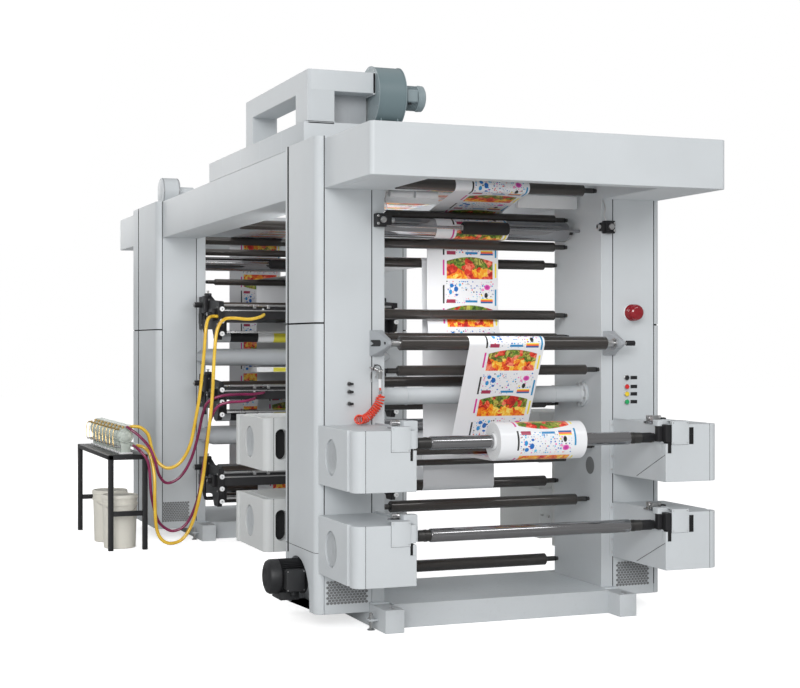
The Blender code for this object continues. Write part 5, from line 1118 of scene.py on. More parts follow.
def arm_details(piece, side, high, reel):
    """The cover plate with its screws and a painted shadow line round it, the slot painted near black as
    painted shadow, the cap over the chuck and the latch.
    """
    inner = arm_inner(side)
    dark = "paint" if side < 0 else "black"

    def across(near, far):
        return span(side, inner + near, inner + far)

    cover = across(0.039, 0.153)
    piece.box(cover, (-0.650, -0.641), (high - 0.120, high + 0.022), 0.0012)
    piece.box(across(0.0392, 0.150), (-0.650, -0.560), (high + 0.0195, high + 0.0220), 0.0008)
    # A near-black rim just behind the cover plate: a painted shadow line round it.
    piece.box((cover[0] - 0.0015, cover[1] + 0.0015), (-0.6445, -0.6425), (high - 0.1215, high - 0.001),
              0.0005, "void")
    for x in (cover[0] + 0.010, cover[1] - 0.010):
        for z in (high - 0.110, high + 0.010):
            piece.turned([(-0.649, 0.0035), (-0.6505, 0.0035), (-0.6508, 0.0025)], "Y", (x, z), 8, "zinc")
    slot, lip, lid = ((0.022, 0.0365), 0.0215, 0.050) if side < 0 else ((0.014, 0.0385), 0.0135, 0.026)
    # A near-black block filling the chuck slot: painted shadow for its dark inside.
    piece.box(across(*slot), (-0.640, -0.595), (reel - 0.0875, reel - 0.020), 0.0008, "void")
    piece.box(across(0.002, 0.0385), (-0.642, -0.596), (reel - 0.020, high - 0.002), 0.0010, dark)
    piece.box(across(0.0005, lip), (-0.6435, -0.596), (reel - 0.0875, reel - 0.030), 0.0008)
    piece.box(across(0.001, 0.016), (-0.530, -0.010), (high - 0.001, high + 0.010), 0.001)
    cap = across(-0.026, 0.059)
    piece.box(cap, (-0.594, -0.532), (high - 0.012, high + lid), 0.003)
    piece.box(cap, (-0.5945, -0.560), (reel - 0.020, high - 0.010), 0.002, dark)
    left, right = across(-0.012, 0.084)
    piece.box((left, right), (-0.500, -0.400), (high - 0.001, high + 0.012), 0.002, "steel")
    piece.box(across(-0.004, 0.036), (-0.494, -0.412), (high + 0.010, high + 0.048), 0.004, "zinc")
    piece.turned(same_ends(left + 0.004, right - 0.004, [(0, 0.0155), (0.002, 0.017)]), "X",
                 (-0.446, high + 0.030), 20,
                 "zinc")
    piece.tube([(right - 0.020, -0.480, high + 0.030), (right - 0.014, -0.498, high + 0.032),
                (right - 0.008, -0.513, high + 0.030)], 0.0055, 10, "black")


def right_arm_details(piece, inner, low, high):
    """What only the right arms have: a slot in front and a seam line on the inner side, both painted near
    black as painted shadow, and a bolted flange.
    """
    middle = (low + high) / 2
    # Painted shadow: a near-black strip stands for the slot's dark inside.
    piece.box((inner + 0.160, inner + 0.190), (-0.6455, -0.6425), (high - 0.120, high - 0.018), 0.0008,
              "void")
    x = inner - 0.0006
    # Painted shadow: a thin near-black tube draws the seam's shaded line.
    seam = smooth_line([(x, -0.30, low + 0.012), (x, -0.45, low + 0.080), (x, -0.635, low + 0.163)], 16)
    piece.tube(seam, 0.0014, 6, "void")
    piece.box((inner - 0.0255, inner), (-0.007, 0.001), (low + 0.004, high - 0.002), 0.001)
    for z in (low + 0.030, middle - 0.060, middle + 0.040, high - 0.030):
        piece.turned([(-0.006, 0.0065), (-0.0105, 0.0065), (-0.011, 0.005)], "Y", (inner - 0.013, z), 10,
                     "zinc")


def pod_outline(side):
    """An unwinding housing's plan: round near corner, a seam by it, an end plate a little proud."""
    c, x0, x1, front = 0.050, 0.785, 1.200, 0.980
    points = [(x0, 1.630), (x0, front + 0.003), (x0 + 0.003, front), (1.1345, front), (1.1350, front + 0.004),
              (1.1370, front + 0.004), (1.1375, front)]
    points += arc((x1 - c, front + c), c, -88, 0, 12).tolist()
    points += [(x1, 1.572), (x1 - 0.010, 1.574), (x1 - 0.010, 1.588), (x1 + 0.012, 1.590),
               (x1 + 0.012, 1.630)]
    return np.array(points) * (side, 1)


def make_carriers():
    """The unwinding housings on their cheek plates, with an oval opening, a dial recess and screws."""
    for word, side in (("left", -1), ("right", 1)):
        pods, extras, cuts = Piece("cream"), Piece("cream"), []
        cheek = span(side, 0.770, 0.800)
        pods.box(cheek, (0.6523, 0.7623), (0.312, 1.203), 0.003)
        a, b = span(side, 1.045, 1.125)
        for low in HOUSING_LOWS:
            middle = low + HOUSING_HEIGHT / 2
            pods.box(cheek, (0.68, 1.630), (low, low + HOUSING_HEIGHT), 0.003)
            housing(pods, pod_outline(side), low)
            hole = np.concatenate((arc(((a + b) / 2, middle + 0.060), 0.040, 0, 180, 12),
                                   arc(((a + b) / 2, middle - 0.060), 0.040, 180, 360, 12)))
            cuts.append(Piece().slab(hole, "Y", 0.96, 1.04, 0.001))
            cuts.append(Piece().bar(*span(side, 1.176, 1.23), DIAL_RADIUS, "X", (1.335, middle), 56))
            # Painted shadow: a near-black plate forms the floor of the oval opening.
            floor = inset(hole, 0.001)
            extras.loft([along("Y", floor, 1.036), along("Y", floor, 1.0395)], "void")
            rim = inset(hole, -0.005)
            extras.loft([along("Y", rim, 0.9785), along("Y", hole, 0.9785), along("Y", hole, 0.9805),
                         along("Y", rim, 0.9805)], wrap=True)
            dish_disc(extras, side, 1.176, (1.335, middle))
            for y in (0.80, 0.90):
                extras.turned([(side * 0.7705, 0.010), (side * 0.7625, 0.010), (side * 0.7615, 0.008)],
                              "X", (y, middle), 12, "zinc")
            extras.box(span(side, 0.80, 1.150), (1.02, 1.60), (low + 0.3435, low + 0.3475), 0.001)
        made = pods.make(f"{word}_unwind_housings", [f"{word}_unwind_carrier"], "cream")
        carve(made, *cuts)
        extras.make(f"{word}_unwind_trim", slot="cream")


# Rollers
PLAIN_ROLLERS = (
    "canopy_roller", "upper_guide_roller", "draw_guide_roller", "feed_guide_roller", "drop_guide_roller",
    "turning_roller", "cross_guide_roller", "middle_guide_roller", "lay_roller", "entry_guide_roller",
    "lower_guide_roller", "floor_guide_roller", "rear_entry_roller", "rear_lower_roller",
    "rear_return_roller", "rear_top_roller", "long_run_roller",
)


def middle_of(name):
    """Y and Z of a roller's axis, its half length and its greatest radius, from its solid's box."""
    low, high = (np.array(p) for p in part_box(name))
    return (low[1:] + high[1:]) / 2, high[0], (high[2] - low[2]) / 2


def make_guide_rollers():
    """Each guide roller: a dark anodised tube with chamfered ends, end caps and stepped journals."""
    for name in PLAIN_ROLLERS:
        center, half, r = middle_of(name)
        face = half - 0.095
        tube = Piece("roller")
        tube.turned(same_ends(-face, face, [(0, r * 0.80), (0, r - 0.004), (0.004, r)]), "X", center, 56)
        tube.both_ends([(face - 0.002, r * 0.80), (face - 0.002, 0.021), (face + 0.006, 0.020),
                        (face + 0.007, 0.0165), (half - 0.030, 0.0165), (half - 0.029, 0.0125),
                        (half, 0.0125)], center, 28, "journal")
        tube.both_ends(same_ends(half - 0.028, half - 0.016, [(0, 0.0125), (0, 0.0168)]), center, 6, "black")
        tube.make(name + "_tube", [name], "anodised", name + "_body")


def make_drive_drum():
    """The chrome drive drum with its rounded rims and stepped journals."""
    center, half, r = middle_of("drive_roller")
    face = half - 0.045
    drum = Piece("steel")
    drum.turned(same_ends(-face, face, [(0, 0.030), (0, r - 0.006), (0.003, r - 0.002), (0.006, r)]), "X",
                center, 72)
    drum.both_ends([(face - 0.002, 0.030), (face + 0.008, 0.028), (face + 0.009, 0.0168), (half, 0.0168)],
                   center, 32, "journal")
    drum.make("drive_drum", ["drive_roller"], "steel", "drive_roller_body")


def make_nip():
    """The rubber nip, a sleeve between two collars on a thin rod."""
    center, half, r = middle_of("nip_roller")
    low, high = -0.096, 0.217
    nip = Piece("steel")
    nip.bar(-half, half, 0.0098, "X", center, 24)
    nip.turned(same_ends(low, high, [(0, 0.016), (0, r - 0.006), (0.006, r - 0.0005), (0.008, r)]), "X",
               center, 56, "rubber")
    for x in (low - 0.012, high - 0.0005):
        nip.turned(same_ends(x, x + 0.0125, [(0, 0.0175), (0.001, 0.018)]), "X", center, 28, "zinc")
    nip.make("nip_sleeve", ["nip_roller"], "rubber", "nip_roller_body")


def make_front_roller():
    """The front roller between its brackets, on bright journals."""
    center, half, r = middle_of("front_roller")
    face = half - 0.070
    front = Piece("roller")
    front.turned(same_ends(-face, face, [(0, 0.026), (0, r - 0.004), (0.004, r)]), "X", center, 64)
    front.both_ends([(face - 0.002, 0.0215), (half - 0.022, 0.0198), (half - 0.021, 0.0155), (half, 0.0155)],
                    center, 28, "zinc")
    front.make("front_roller_tube", ["front_roller"], "anodised", "front_roller_body")


def make_tie():
    """The tie tube with its raised bands, a flange at each wall and a ring of bolts round each flange."""
    center, half, _ = middle_of("tie_tube")
    tube = Piece("paint")
    r, flange = 0.0535, half - 0.020
    band = r + 0.0035
    tube.turned([(-flange, r), (-0.504, r), (-0.5035, band), (-0.4965, band), (-0.496, r), (0.516, r),
                 (0.5165, band),
                 (0.5235, band), (0.524, r), (flange, r)], "X", center, 64)
    tube.both_ends([(half, 0.082), (half - 0.001, 0.0825), (flange + 0.002, 0.0825), (flange, 0.0805),
                    (flange, 0.062), (flange - 0.012, 0.0545)], center, 56)
    for angle in range(22, 382, 45):
        tube.both_ends([(flange + 0.001, 0.0065), (flange - 0.007, 0.0065), (flange - 0.008, 0.005)],
                       on_circle(center, 0.070, angle), 12, "zinc")
    tube.make("tie_tube_skin", ["tie_tube"], "paint")


def make_reels():
    """The reel bars: a dark chuck and neck, then a bright bar with a collar near each end."""
    for name in ("lower_winding_shaft", "upper_winding_shaft", "unwind_shaft"):
        low, high = (np.array(p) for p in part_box(name))
        center, r = (low[1:] + high[1:]) / 2, (high[2] - low[2]) / 2
        half = -low[0]
        neck, bar = half - 0.060, half - 0.135
        shaft = Piece("steel")
        shaft.turned(same_ends(-bar, bar, [(0, 0.022), (0, r - 0.005), (0.003, r - 0.001), (0.006, r)]), "X",
                     center, 72)
        shaft.both_ends([(bar - 0.001, 0.0330), (neck + 0.001, 0.0330)], center, 32, "journal")
        shaft.both_ends(same_ends(bar + 0.020, bar + 0.034, [(0, 0.0325), (0, 0.0352)]), center, 32,
                        "journal")
        for side, end in ((-1, half), (1, high[0])):
            chuck = [(neck, 0.024), (neck + 0.001, 0.0305), (end - 0.020, 0.0308), (end - 0.018, 0.027),
                     (end, 0.027)]
            shaft.turned([(side * at, k) for at, k in chuck], "X", center, 36, "black")
            for angle in range(0, 360, 60):
                shaft.bar(side * (neck + 0.012), side * (end - 0.024), 0.0045, "X",
                          on_circle(center, 0.0275, angle),
                          8, "black")
        shaft.make(name + "_bar", [name], "steel", name + "_body")


def make_roll():
    """The wound film: a printed outside that follows the roll's turn, ends of fine rings and a board core."""
    center = np.array((REEL_Y, UPPER_REEL_Z))
    x0, x1, r, hole, first_run = -0.250, 0.310, 0.111, 0.0393, -1.0575
    roll = Piece("film")
    turns = np.linspace(0, 2 * math.pi, 97)
    x = np.concatenate(([x0 + 0.001], np.linspace(x0 + 0.003, x1 - 0.003, 9), [x1 - 0.001]))
    radius = np.full(len(x), r)
    radius[[0, -1]] = r - 0.0015
    ring = np.stack((np.cos(turns[:-1]), np.sin(turns[:-1])), axis=1)
    rings = [along("X", ring * k + center, at) for at, k in zip(x, radius)]
    uv = np.stack(np.broadcast_arrays(x[:, None], turns[None, :] * r + first_run), axis=2)
    inner = [along("X", ring * 0.0525 + center, at) for at in (x1 - 0.001, x0 + 0.001)]
    whole = np.stack(rings + inner)
    pad = np.zeros((2, *uv.shape[1:]))
    roll.loft(whole, wrap=True, uv=np.concatenate((uv, pad, uv[:1])))
    marks = roll.quad_finish[-1].reshape(len(whole), -1)
    marks[len(x) - 1:] = roll.number("wound")
    core = same_ends(x0 - 0.010, x1 + 0.010, [(0, hole), (0, 0.050)])
    roll.loft([along("X", ring * k + center, at) for at, k in core], "knob", wrap=True)
    roll.make("wound_film", ["film_roll"], "film", "upper_winding_shaft_body")


# Film
def tangent(first, second):
    """Where a straight run leaves one circle and meets the next.

    Each circle is y, z, radius and turn, and the lean of the common normal from the line of centres has
    the sine of the signed radii's difference over the distance.
    """
    start, end = np.array(first[:2]), np.array(second[:2])
    signed = first[2] * first[3] - second[2] * second[3]
    gap = end - start
    length = float(np.hypot(*gap))
    ahead = gap / length
    across = np.array((ahead[1], -ahead[0]))
    lean = signed / length
    normal = ahead * lean + across * math.sqrt(1 - lean * lean)
    return start + normal * first[2] * first[3], end + normal * second[2] * second[3]


def film_line(circles, step=0.02):
    """The film's middle line: runs tangent to each roller, read off at even steps, and fine arcs."""
    runs = [tangent(a, b) for a, b in zip(circles, circles[1:])]
    parts = []
    for k, (leave, arrive) in enumerate(runs):
        count = max(2, int(np.hypot(*(arrive - leave)) / step))
        t = np.linspace(0, 1, count)[:, None]
        parts.append(leave + (arrive - leave) * t)
        if k + 1 == len(runs):
            break
        y, z, radius, turn = circles[k + 1]
        middle = np.array((y, z))
        low, high = (math.atan2(*(p - middle)[::-1]) for p in (arrive, runs[k + 1][0]))
        swing = (high - low) % (2 * math.pi) if turn > 0 else -((low - high) % (2 * math.pi))
        steps = max(2, math.ceil(abs(swing) / math.radians(6)))
        a = low + swing * np.linspace(0, 1, steps + 1)[1:-1]
        parts.append(middle + radius * np.stack((np.cos(a), np.sin(a)), axis=1))
    return np.concatenate(parts)


def film_circles(thickness):
    """The rollers in the order that the film meets them, each widened by its clearance."""
    order = (
        ("unwind_shaft", -1), ("entry_guide_roller", -1), ("middle_guide_roller", -1),
        ("feed_guide_roller", -1),
        ("rear_entry_roller", -1), ("rear_lower_roller", 1), ("rear_return_roller", 1),
        ("rear_top_roller", 1),
        ("long_run_roller", 1), ("canopy_roller", 1), ("upper_guide_roller", -1), ("drive_roller", 1),
        ("draw_guide_roller", -1), ("drop_guide_roller", -1), ("turning_roller", -1), ("front_roller", 1),
        ("lay_roller", -1), ("film_roll", -1),
    )
    circles = []
    for name, turn in order:
        center, _, r = middle_of(name)
        circles.append((center[0], center[1], r + 0.0004 + thickness / 2, turn))
    return circles


def make_film():
    """The film web: one thin strip along the line, its own width and run kept for the print.

    The film is plain until the middle printing station; from there on its run counts below zero.
    """
    thickness = 0.0005
    line = film_line(film_circles(thickness))
    keep = np.concatenate(([True], np.linalg.norm(np.diff(line, axis=0), axis=1) > 1e-5))
    line = line[keep]
    ahead = directions(line)
    normal = np.stack((-ahead[:, 1], ahead[:, 0]), axis=1) * thickness / 2
    run = run_of(line)
    start = run[np.argmax((line[:, 0] > REAR_START - 0.05) & (line[:, 1] < STATIONS[1][1]))]
    x = np.linspace(-0.254, 0.248, 7)
    around = [(k, 1) for k in x] + [(k, -1) for k in x[::-1]]
    rings = np.stack([
        np.stack((np.full(len(line), k), *(line + normal * s).T), axis=1) for k, s in around
    ], axis=1)
    across = np.array([k for k, _ in around] + [around[0][0]])
    uv = np.stack(np.broadcast_arrays(across[None, :], start - run[:, None]), axis=2)
    made = Piece("film").loft(rings, uv=uv).make("printed_web", ["film_web"], "film", smooth=60)


# Printing stations
HOSE_ENDS = {"upper": ((-0.400, 1.930),), "middle": ((-0.400, 1.280), (-0.476, 1.242)), "lower": ()}


def make_stations():
    """The three stations with their plate cylinders; the upper two also have sleeves and a dryer."""
    for word, z in STATIONS:
        deck = Piece("black")
        station_cheeks(deck, z)
        station_bars(deck, z)
        for x, level in HOSE_ENDS[word]:
            deck.turned([(level - 0.012, 0.017), (level + 0.006, 0.017), (level + 0.008, 0.013),
                         (level + 0.040, 0.013),
                         (level + 0.042, 0.016), (level + 0.052, 0.016)], "Z", (x, 3.812), 16, "knob")
        if word != "lower":
            sleeves(deck, z)
            dryer(deck, z)
        deck.make(f"{word}_print_station", [f"{word}_print_deck"], "deck")
        make_plate_roll(word)


def station_cheeks(deck, z):
    """A station's cheeks: bevelled plates, each with three knobs in front and clamps on its outer face."""
    back, front = REAR_START - 0.0003, DECK_FRONT
    outline = np.array([
        (back, z + 0.085), (back - 0.30, z + 0.085), (back - 0.42, z + 0.045), (front + 0.004, z + 0.030),
        (front, z + 0.026), (front, z - 0.181), (front + 0.004, z - 0.187), (front + 0.06, z - 0.290),
        (front + 0.17, z - 0.290), (front + 0.24, z - 0.200), (back, z - 0.200)])
    knob = ((0.002, 0.010), (-0.014, 0.010), (-0.015, 0.017), (-0.017, 0.020), (-0.028, 0.020),
            (-0.030, 0.017))
    for side in (-1, 1):
        deck.slab(outline, "X", *span(side, *CHEEK), 0.003)
        for drop in (0.035, 0.135, 0.240):
            center = (side * 0.772, z - drop)
            deck.turned([(front + y, r) for y, r in knob], "Y", center, 28, "knob")
            deck.bar(front - 0.0295, front - 0.033, 0.006, "Y", center, 12, "zinc")
        station_clamps(deck, side, z)


def station_bars(deck, z):
    """What spans a station: doctor chamber, rail, clamps, rod, engraved roller and lower tray."""
    front = DECK_FRONT
    deck.box((-0.760, 0.760), (front + 0.05, front + 0.20), (z - 0.12, z), 0.004)
    deck.box((-0.745, 0.745), (front + 0.045, front + 0.055), (z - 0.050, z - 0.040), 0.001, "zinc")
    deck.bar(-0.745, 0.745, 0.011, "X", (front + 0.030, z - 0.005), 16, "zinc")
    for x in (-0.48, -0.36, 0.0, 0.36):
        deck.box((x - 0.012, x + 0.012), (front + 0.018, front + 0.052), (z - 0.030, z + 0.006), 0.003,
                 "zinc")
    roller = (front + 0.285, z - 0.045)
    deck.turned(same_ends(-0.69, 0.69, [(0, 0.045), (0, 0.072), (0.004, 0.075)]), "X", roller, 56, "anilox")
    deck.bar(-0.7518, 0.7518, 0.025, "X", roller, 24, "zinc")
    deck.turned(same_ends(-0.738, -0.722, [(0, 0.060), (0, 0.066)]), "X", roller, 40, "zinc")
    deck.box((-0.70, 0.70), (front + 0.10, front + 0.22), (z - 0.235, z - 0.215), 0.003, "zinc")
    for side in (-1, 1):
        deck.box(span(side, 0.70, 0.755), (front + 0.10, front + 0.20), (z - 0.240, z - 0.10), 0.003)


def station_clamps(piece, side, z):
    """What crowds a cheek's outer face: bearing, rod, clamp blocks, screws and a hanging lever."""
    back, front, face = REAR_START, DECK_FRONT, CHEEK[1] - 0.002

    def knob(profile, y, level, sides, finish=None):
        piece.turned([(side * x, r) for x, r in profile], "X", (y, level), sides, finish)

    knob([(face, 0.024), (0.878, 0.024), (0.880, 0.018)], back - 0.20, z + 0.01, 24)
    knob([(0.878, 0.016), (0.890, 0.016), (0.892, 0.012)], back - 0.20, z + 0.01, 20, "zinc")
    knob([(0.791, 0.034), (0.806, 0.034), (0.808, 0.030)], back - 0.20, z + 0.01, 28)
    for y, rise in ((0.05, -0.02), (0.05, -0.16), (0.34, 0.05), (0.60, 0.05), (0.60, -0.16)):
        knob([(0.791, 0.008), (0.797, 0.008), (0.798, 0.006)], front + y, z + rise, 12, "zinc")
    piece.box(span(side, face, 0.828), (back - 0.330, back - 0.250), (z - 0.060, z + 0.085), 0.004)
    piece.box(span(side, 0.758, 0.812), (back - 0.315, back - 0.265), (z + 0.080, z + 0.108), 0.004)
    piece.turned([(z + 0.106, 0.008), (z + 0.122, 0.008), (z + 0.123, 0.013), (z + 0.130, 0.013)],
                 "Z", (side * 0.785, back - 0.29), 14, "zinc")
    piece.box(span(side, face, 0.822), (front + 0.10, front + 0.24), (z - 0.130, z - 0.030), 0.004)
    knob([(0.820, 0.024), (0.846, 0.024), (0.849, 0.020)], front + 0.17, z - 0.080, 24)
    knob([(0.846, 0.010), (0.856, 0.010)], front + 0.17, z - 0.080, 12, "zinc")
    piece.box(span(side, face, 0.812), (back - 0.160, back - 0.060), (z - 0.150, z - 0.060), 0.003)
    lever = smooth_line([(side * 0.812, back - 0.36, z - 0.070), (side * 0.835, back - 0.37, z - 0.110),
                         (side * 0.838, back - 0.375, z - 0.190), (side * 0.826, back - 0.37, z - 0.250)], 24)
    piece.tube(lever, np.interp(np.linspace(0, 1, 24), (0, 0.2, 0.6, 1), (0.007, 0.012, 0.016, 0.011)), 14)
    knob([(face, 0.012), (0.815, 0.012)], back - 0.36, z - 0.070, 14, "zinc")


def make_plate_roll(word):
    """A station's plate cylinder: its body, a plate wrapped round its middle, its journals and its gears."""
    center, half, r = middle_of(f"{word}_plate_cylinder")
    roll = Piece("plate")
    roll.turned(same_ends(-0.640, 0.640, [(0, 0.050), (0, r - 0.003), (0.003, r)]), "X", center, 64)
    roll.both_ends([(0.638, 0.0300), (0.690, 0.0295), (0.691, 0.0290), (half, 0.0290)], center, 32, "zinc")
    roll.both_ends(same_ends(0.660, 0.682, [(0, 0.029), (0, 0.0700)]), center, 48, "zinc")
    roll.turned(same_ends(-0.125, 0.210, [(0, r * 0.9), (0, r)]), "X", center, 64, "anilox")
    roll.make(f"{word}_plate_roll", [f"{word}_plate_cylinder"], "plate", f"{word}_plate_cylinder_body")


def sleeves(piece, z):
    """Under a station: a stored sleeve in three parts, and a tray with a patch like the sleeve's."""
    center = (DECK_FRONT + 0.335, z - 0.262)
    piece.turned([(-0.7517, 0.020), (-0.740, 0.020), (-0.739, 0.046), (-0.735, 0.050), (-0.617, 0.050)],
                 "X", center, 40, "dryer")
    piece.bar(-0.618, -0.372, 0.047, "X", center, 40)
    piece.turned([(-0.373, 0.050), (0.735, 0.050), (0.739, 0.046), (0.7517, 0.046)], "X", center, 40, "knob")
    piece.turned(same_ends(-0.235, 0.090, [(0, 0.0495), (0, 0.0507)]), "X", center, 40, "amber")
    y = (DECK_FRONT + 0.24, DECK_FRONT + 0.50)
    piece.box((-0.40, 0.74), y, (z - 0.566, z - 0.522), 0.003, "knob")
    piece.box((-0.255, 0.060), (y[0] - 0.0008, y[0] + 0.02), (z - 0.562, z - 0.526), 0.0005, "amber")


def dryer(piece, z):
    """A dryer hood: a round-nosed shell whose ends taper in, thin bands round it and two posts."""
    center, half = z - 0.438, 0.072
    front, back = REAR_START - 0.42, REAR_START - 0.06
    nose = arc((front + half, center), half, 90, 270, 16)
    shape = np.concatenate((nose, [(back - 0.01, center - half), (back, center - half + 0.01),
                                   (back, center + half - 0.01), (back - 0.01, center + half)]))
    middle = np.array(((front + back) / 2, center))
    taper = ((0.752, 1.0, 1.0), (0.800, 0.98, 0.80), (0.832, 0.93, 0.42))
    levels = [(-x, deep, high) for x, deep, high in reversed(taper)] + list(taper)
    piece.loft([along("X", middle + (shape - middle) * (deep, high), x) for x, deep, high in levels], "dryer")
    for x in (-0.60, -0.20, 0.20, 0.60):
        piece.slab(inset(shape, -0.0008), "X", x - 0.004, x + 0.004, 0.0004, "dryer")
    for side in (-1, 1):
        piece.box(span(side, *CHEEK), (REAR_START - 0.16, REAR_START - 0.10), (center, z - 0.19), 0.002,
                  "paint")


# Drive, lamp and ink
def make_motor():
    """The drive motor: a fan cowl with a ringed grille, a finned body, flange, terminal box and foot."""
    y, z, r, left, right = MOTOR_Y, 0.272, 0.107, -1.372, -1.0483
    motor = Piece("iron")
    cowl = ((0, 0.020), (0, r * 0.55), (0.003, r * 0.72), (0.012, r * 0.90), (0.028, r * 0.985),
            (0.078, r * 0.985),
            (0.080, r * 0.93))
    motor.turned([(left + x, k) for x, k in cowl], "X", (y, z), 56)
    for k in (0.26, 0.36, 0.46, 0.56):
        motor.turned([(left + 0.001, r * k), (left, r * k), (left, r * (k + 0.035)),
                      (left + 0.001, r * (k + 0.035))],
                     "X", (y, z), 48, "gun")
    motor.bar(left + 0.076, right - 0.098, r * 0.80, "X", (y, z), 48)
    for angle in np.radians(np.arange(0, 360, 7.5)):
        out = np.array((math.cos(angle), math.sin(angle)))
        if out[1] < -0.80 or (out[0] < -0.80 and -0.5 < out[1] < 0.4):
            continue
        across = np.array((-out[1], out[0])) * 0.0019
        root, tip = out * r * 0.76, out * r * 0.985
        fin = np.array([root - across, tip - across * 0.7, tip + across * 0.7, root + across]) + (y, z)
        motor.loft([along("X", fin, left + 0.084), along("X", fin, right - 0.104)])
    flange = ((-0.102, 0.86), (-0.100, 1.02), (-0.098, 1.045), (-0.082, 1.045), (-0.080, 1.0),
              (-0.078, 0.55), (0, 0.55))
    motor.turned([(right + x, r * k) for x, k in flange], "X", (y, z), 56)
    motor.box((left + 0.088, left + 0.198), (y - 0.160, y - 0.060), (z - 0.070, z + 0.055), 0.012,
              corner=0.016)
    motor.box((left + 0.084, left + 0.202), (y - 0.172, y - 0.150), (z - 0.074, z + 0.059), 0.006,
              corner=0.014)
    motor.bar(z - 0.100, z - 0.070, 0.016, "Z", (left + 0.143, y - 0.120), 16)
    motor.box((left + 0.07, left + 0.19), (y - 0.09, y + 0.09), (z - 0.135, z - 0.085), 0.004)
    for x in (left + 0.093, left + 0.193):
        for level in (z - 0.064, z + 0.049):
            motor.bar(y - 0.171, y - 0.1745, 0.004, "Y", (x, level), 8, "zinc")
    motor.make("drive_motor_case", ["drive_motor"], "deck")


def make_beacon():
    """The lamp: a pale collar and a dark red lens, ribbed like a stack of rings, with a round end."""
    center, r = (0.945, 1.885), 0.054
    lamp = Piece("lens")
    lamp.turned([(-0.0003, r * 0.98), (-0.002, r), (-0.018, r), (-0.020, r * 0.95)], "Y", center, 56, "knob")
    ribs = [(-0.0195 - 0.057 * k, r * (0.965 - 0.05 * k) + 0.0014 * math.cos(k * 62))
            for k in np.linspace(0, 1, 81)]
    dome = [(-0.0765 - 0.0245 * math.sin(k), r * 0.91 * math.cos(k) ** 0.8)
            for k in np.radians(np.linspace(4, 88, 18))]
    lamp.turned(ribs + dome, "Y", center, 56)
    lamp.make("beacon_lamp", ["beacon"], "lens")


def make_ink_stand():
    """The ink stand: a square tube table and a row of small pumps with brass fittings and headers."""
    stand = Piece("black")
    x0, x1, y0, y1, top, t = -1.690, -1.370, 3.830, 5.380, 0.780, 0.040
    for y in (y0, y1 - t):
        stand.box((x0, x1), (y, y + t), (top - t, top), 0.003)
        stand.box((x0 + 0.02, x1 - 0.02), (y + 0.002, y + t - 0.002), (0.280, 0.320), 0.003)
    for x in (x0, x1 - t):
        stand.box((x, x + t), (y0, y1), (top - t + 0.001, top - 0.001), 0.003)
        for y in (y0, y1 - t):
            stand.box((x, x + t), (y, y + t), (0.004, top - 0.002), 0.003)
            stand.box((x, x + t), (y, y + t), (0.0, 0.005), 0.001, "rubber")
    stand.box((x0 + 0.01, x1 - 0.01), (y0 + 0.01, y1 - 0.01), (top - 0.006, top), 0.001)
    for y in np.linspace(y0 + 0.13, y1 - 0.13, 9):
        pump_unit(stand, -1.530, y, top)
    for x, z, r, cut in ((-1.499, 1.005, 0.0165, 0.0035), (-1.529, 1.005, 0.0135, 0.0025),
                         (-1.439, 0.850, 0.0165, 0.0035),
                         (-1.474, 0.850, 0.0135, 0.0025)):
        header = [(y0 + 0.0755, r - cut), (y0 + 0.077, r), (y1 - 0.112, r), (y1 - 0.110, r - cut)]
        stand.turned(header, "Y", (x, z), 20, "pump")
    stand.make("ink_table", ["ink_stand"], "deck")


def pump_unit(piece, x, y, top):
    """One diaphragm pump: two dished covers on a middle block, a foot, unions, tubes and a valve."""
    z = top + 0.150
    cover = ((0.0, 0.016), (0.001, 0.030), (0.007, 0.044), (0.016, 0.052), (0.018, 0.061), (0.023, 0.064))
    for side in (-1, 1):
        piece.turned([(y + side * (0.045 - inwards), r) for inwards, r in cover], "Y", (x, z), 28, "pump")
        for angle in range(15, 375, 60):
            piece.bar(y + side * 0.026, y + side * 0.034, 0.004, "Y", on_circle((x, z), 0.057, angle), 6,
                      "zinc")
    piece.turned(same_ends(y - 0.021, y + 0.021, [(0, 0.052), (0.001, 0.054)]), "Y", (x, z), 28, "knob")
    piece.box((x - 0.040, x + 0.040), (y - 0.020, y + 0.020), (top + 0.010, top + 0.096), 0.005, "pump")
    piece.box((x - 0.055, x + 0.055), (y - 0.034, y + 0.034), (top - 0.001, top + 0.014), 0.003, "knob")
    piece.turned([(z + 0.050, 0.011), (z + 0.062, 0.011), (z + 0.063, 0.008), (z + 0.074, 0.008)],
                 "Z", (x + 0.012, y), 12, "brass")
    for steps, center, tint in (
        (((0.050, 0.011), (0.070, 0.011), (0.072, 0.008), (0.082, 0.008)), (y, top + 0.070), "brass"),
        (((-0.048, 0.010), (-0.062, 0.010), (-0.063, 0.007), (-0.084, 0.007)), (y + 0.006, top + 0.205),
         "brass"),
        (((-0.040, 0.009), (-0.062, 0.009), (-0.064, 0.006), (-0.096, 0.006)), (y - 0.010, top + 0.060),
         "zinc"),
    ):
        piece.turned([(x + out, r) for out, r in steps], "X", center, 12, tint)
    piece.box((x - 0.030, x + 0.002), (y - 0.012, y + 0.012), (z + 0.058, z + 0.080), 0.003, "brass")
    loop = smooth_line([(x - 0.084, y + 0.006, top + 0.205), (x - 0.098, y + 0.004, top + 0.186),
                        (x - 0.103, y, top + 0.130), (x - 0.102, y - 0.008, top + 0.084),
                        (x - 0.096, y - 0.010, top + 0.060)], 20)
    piece.tube(loop, 0.0028, 8, "brass")


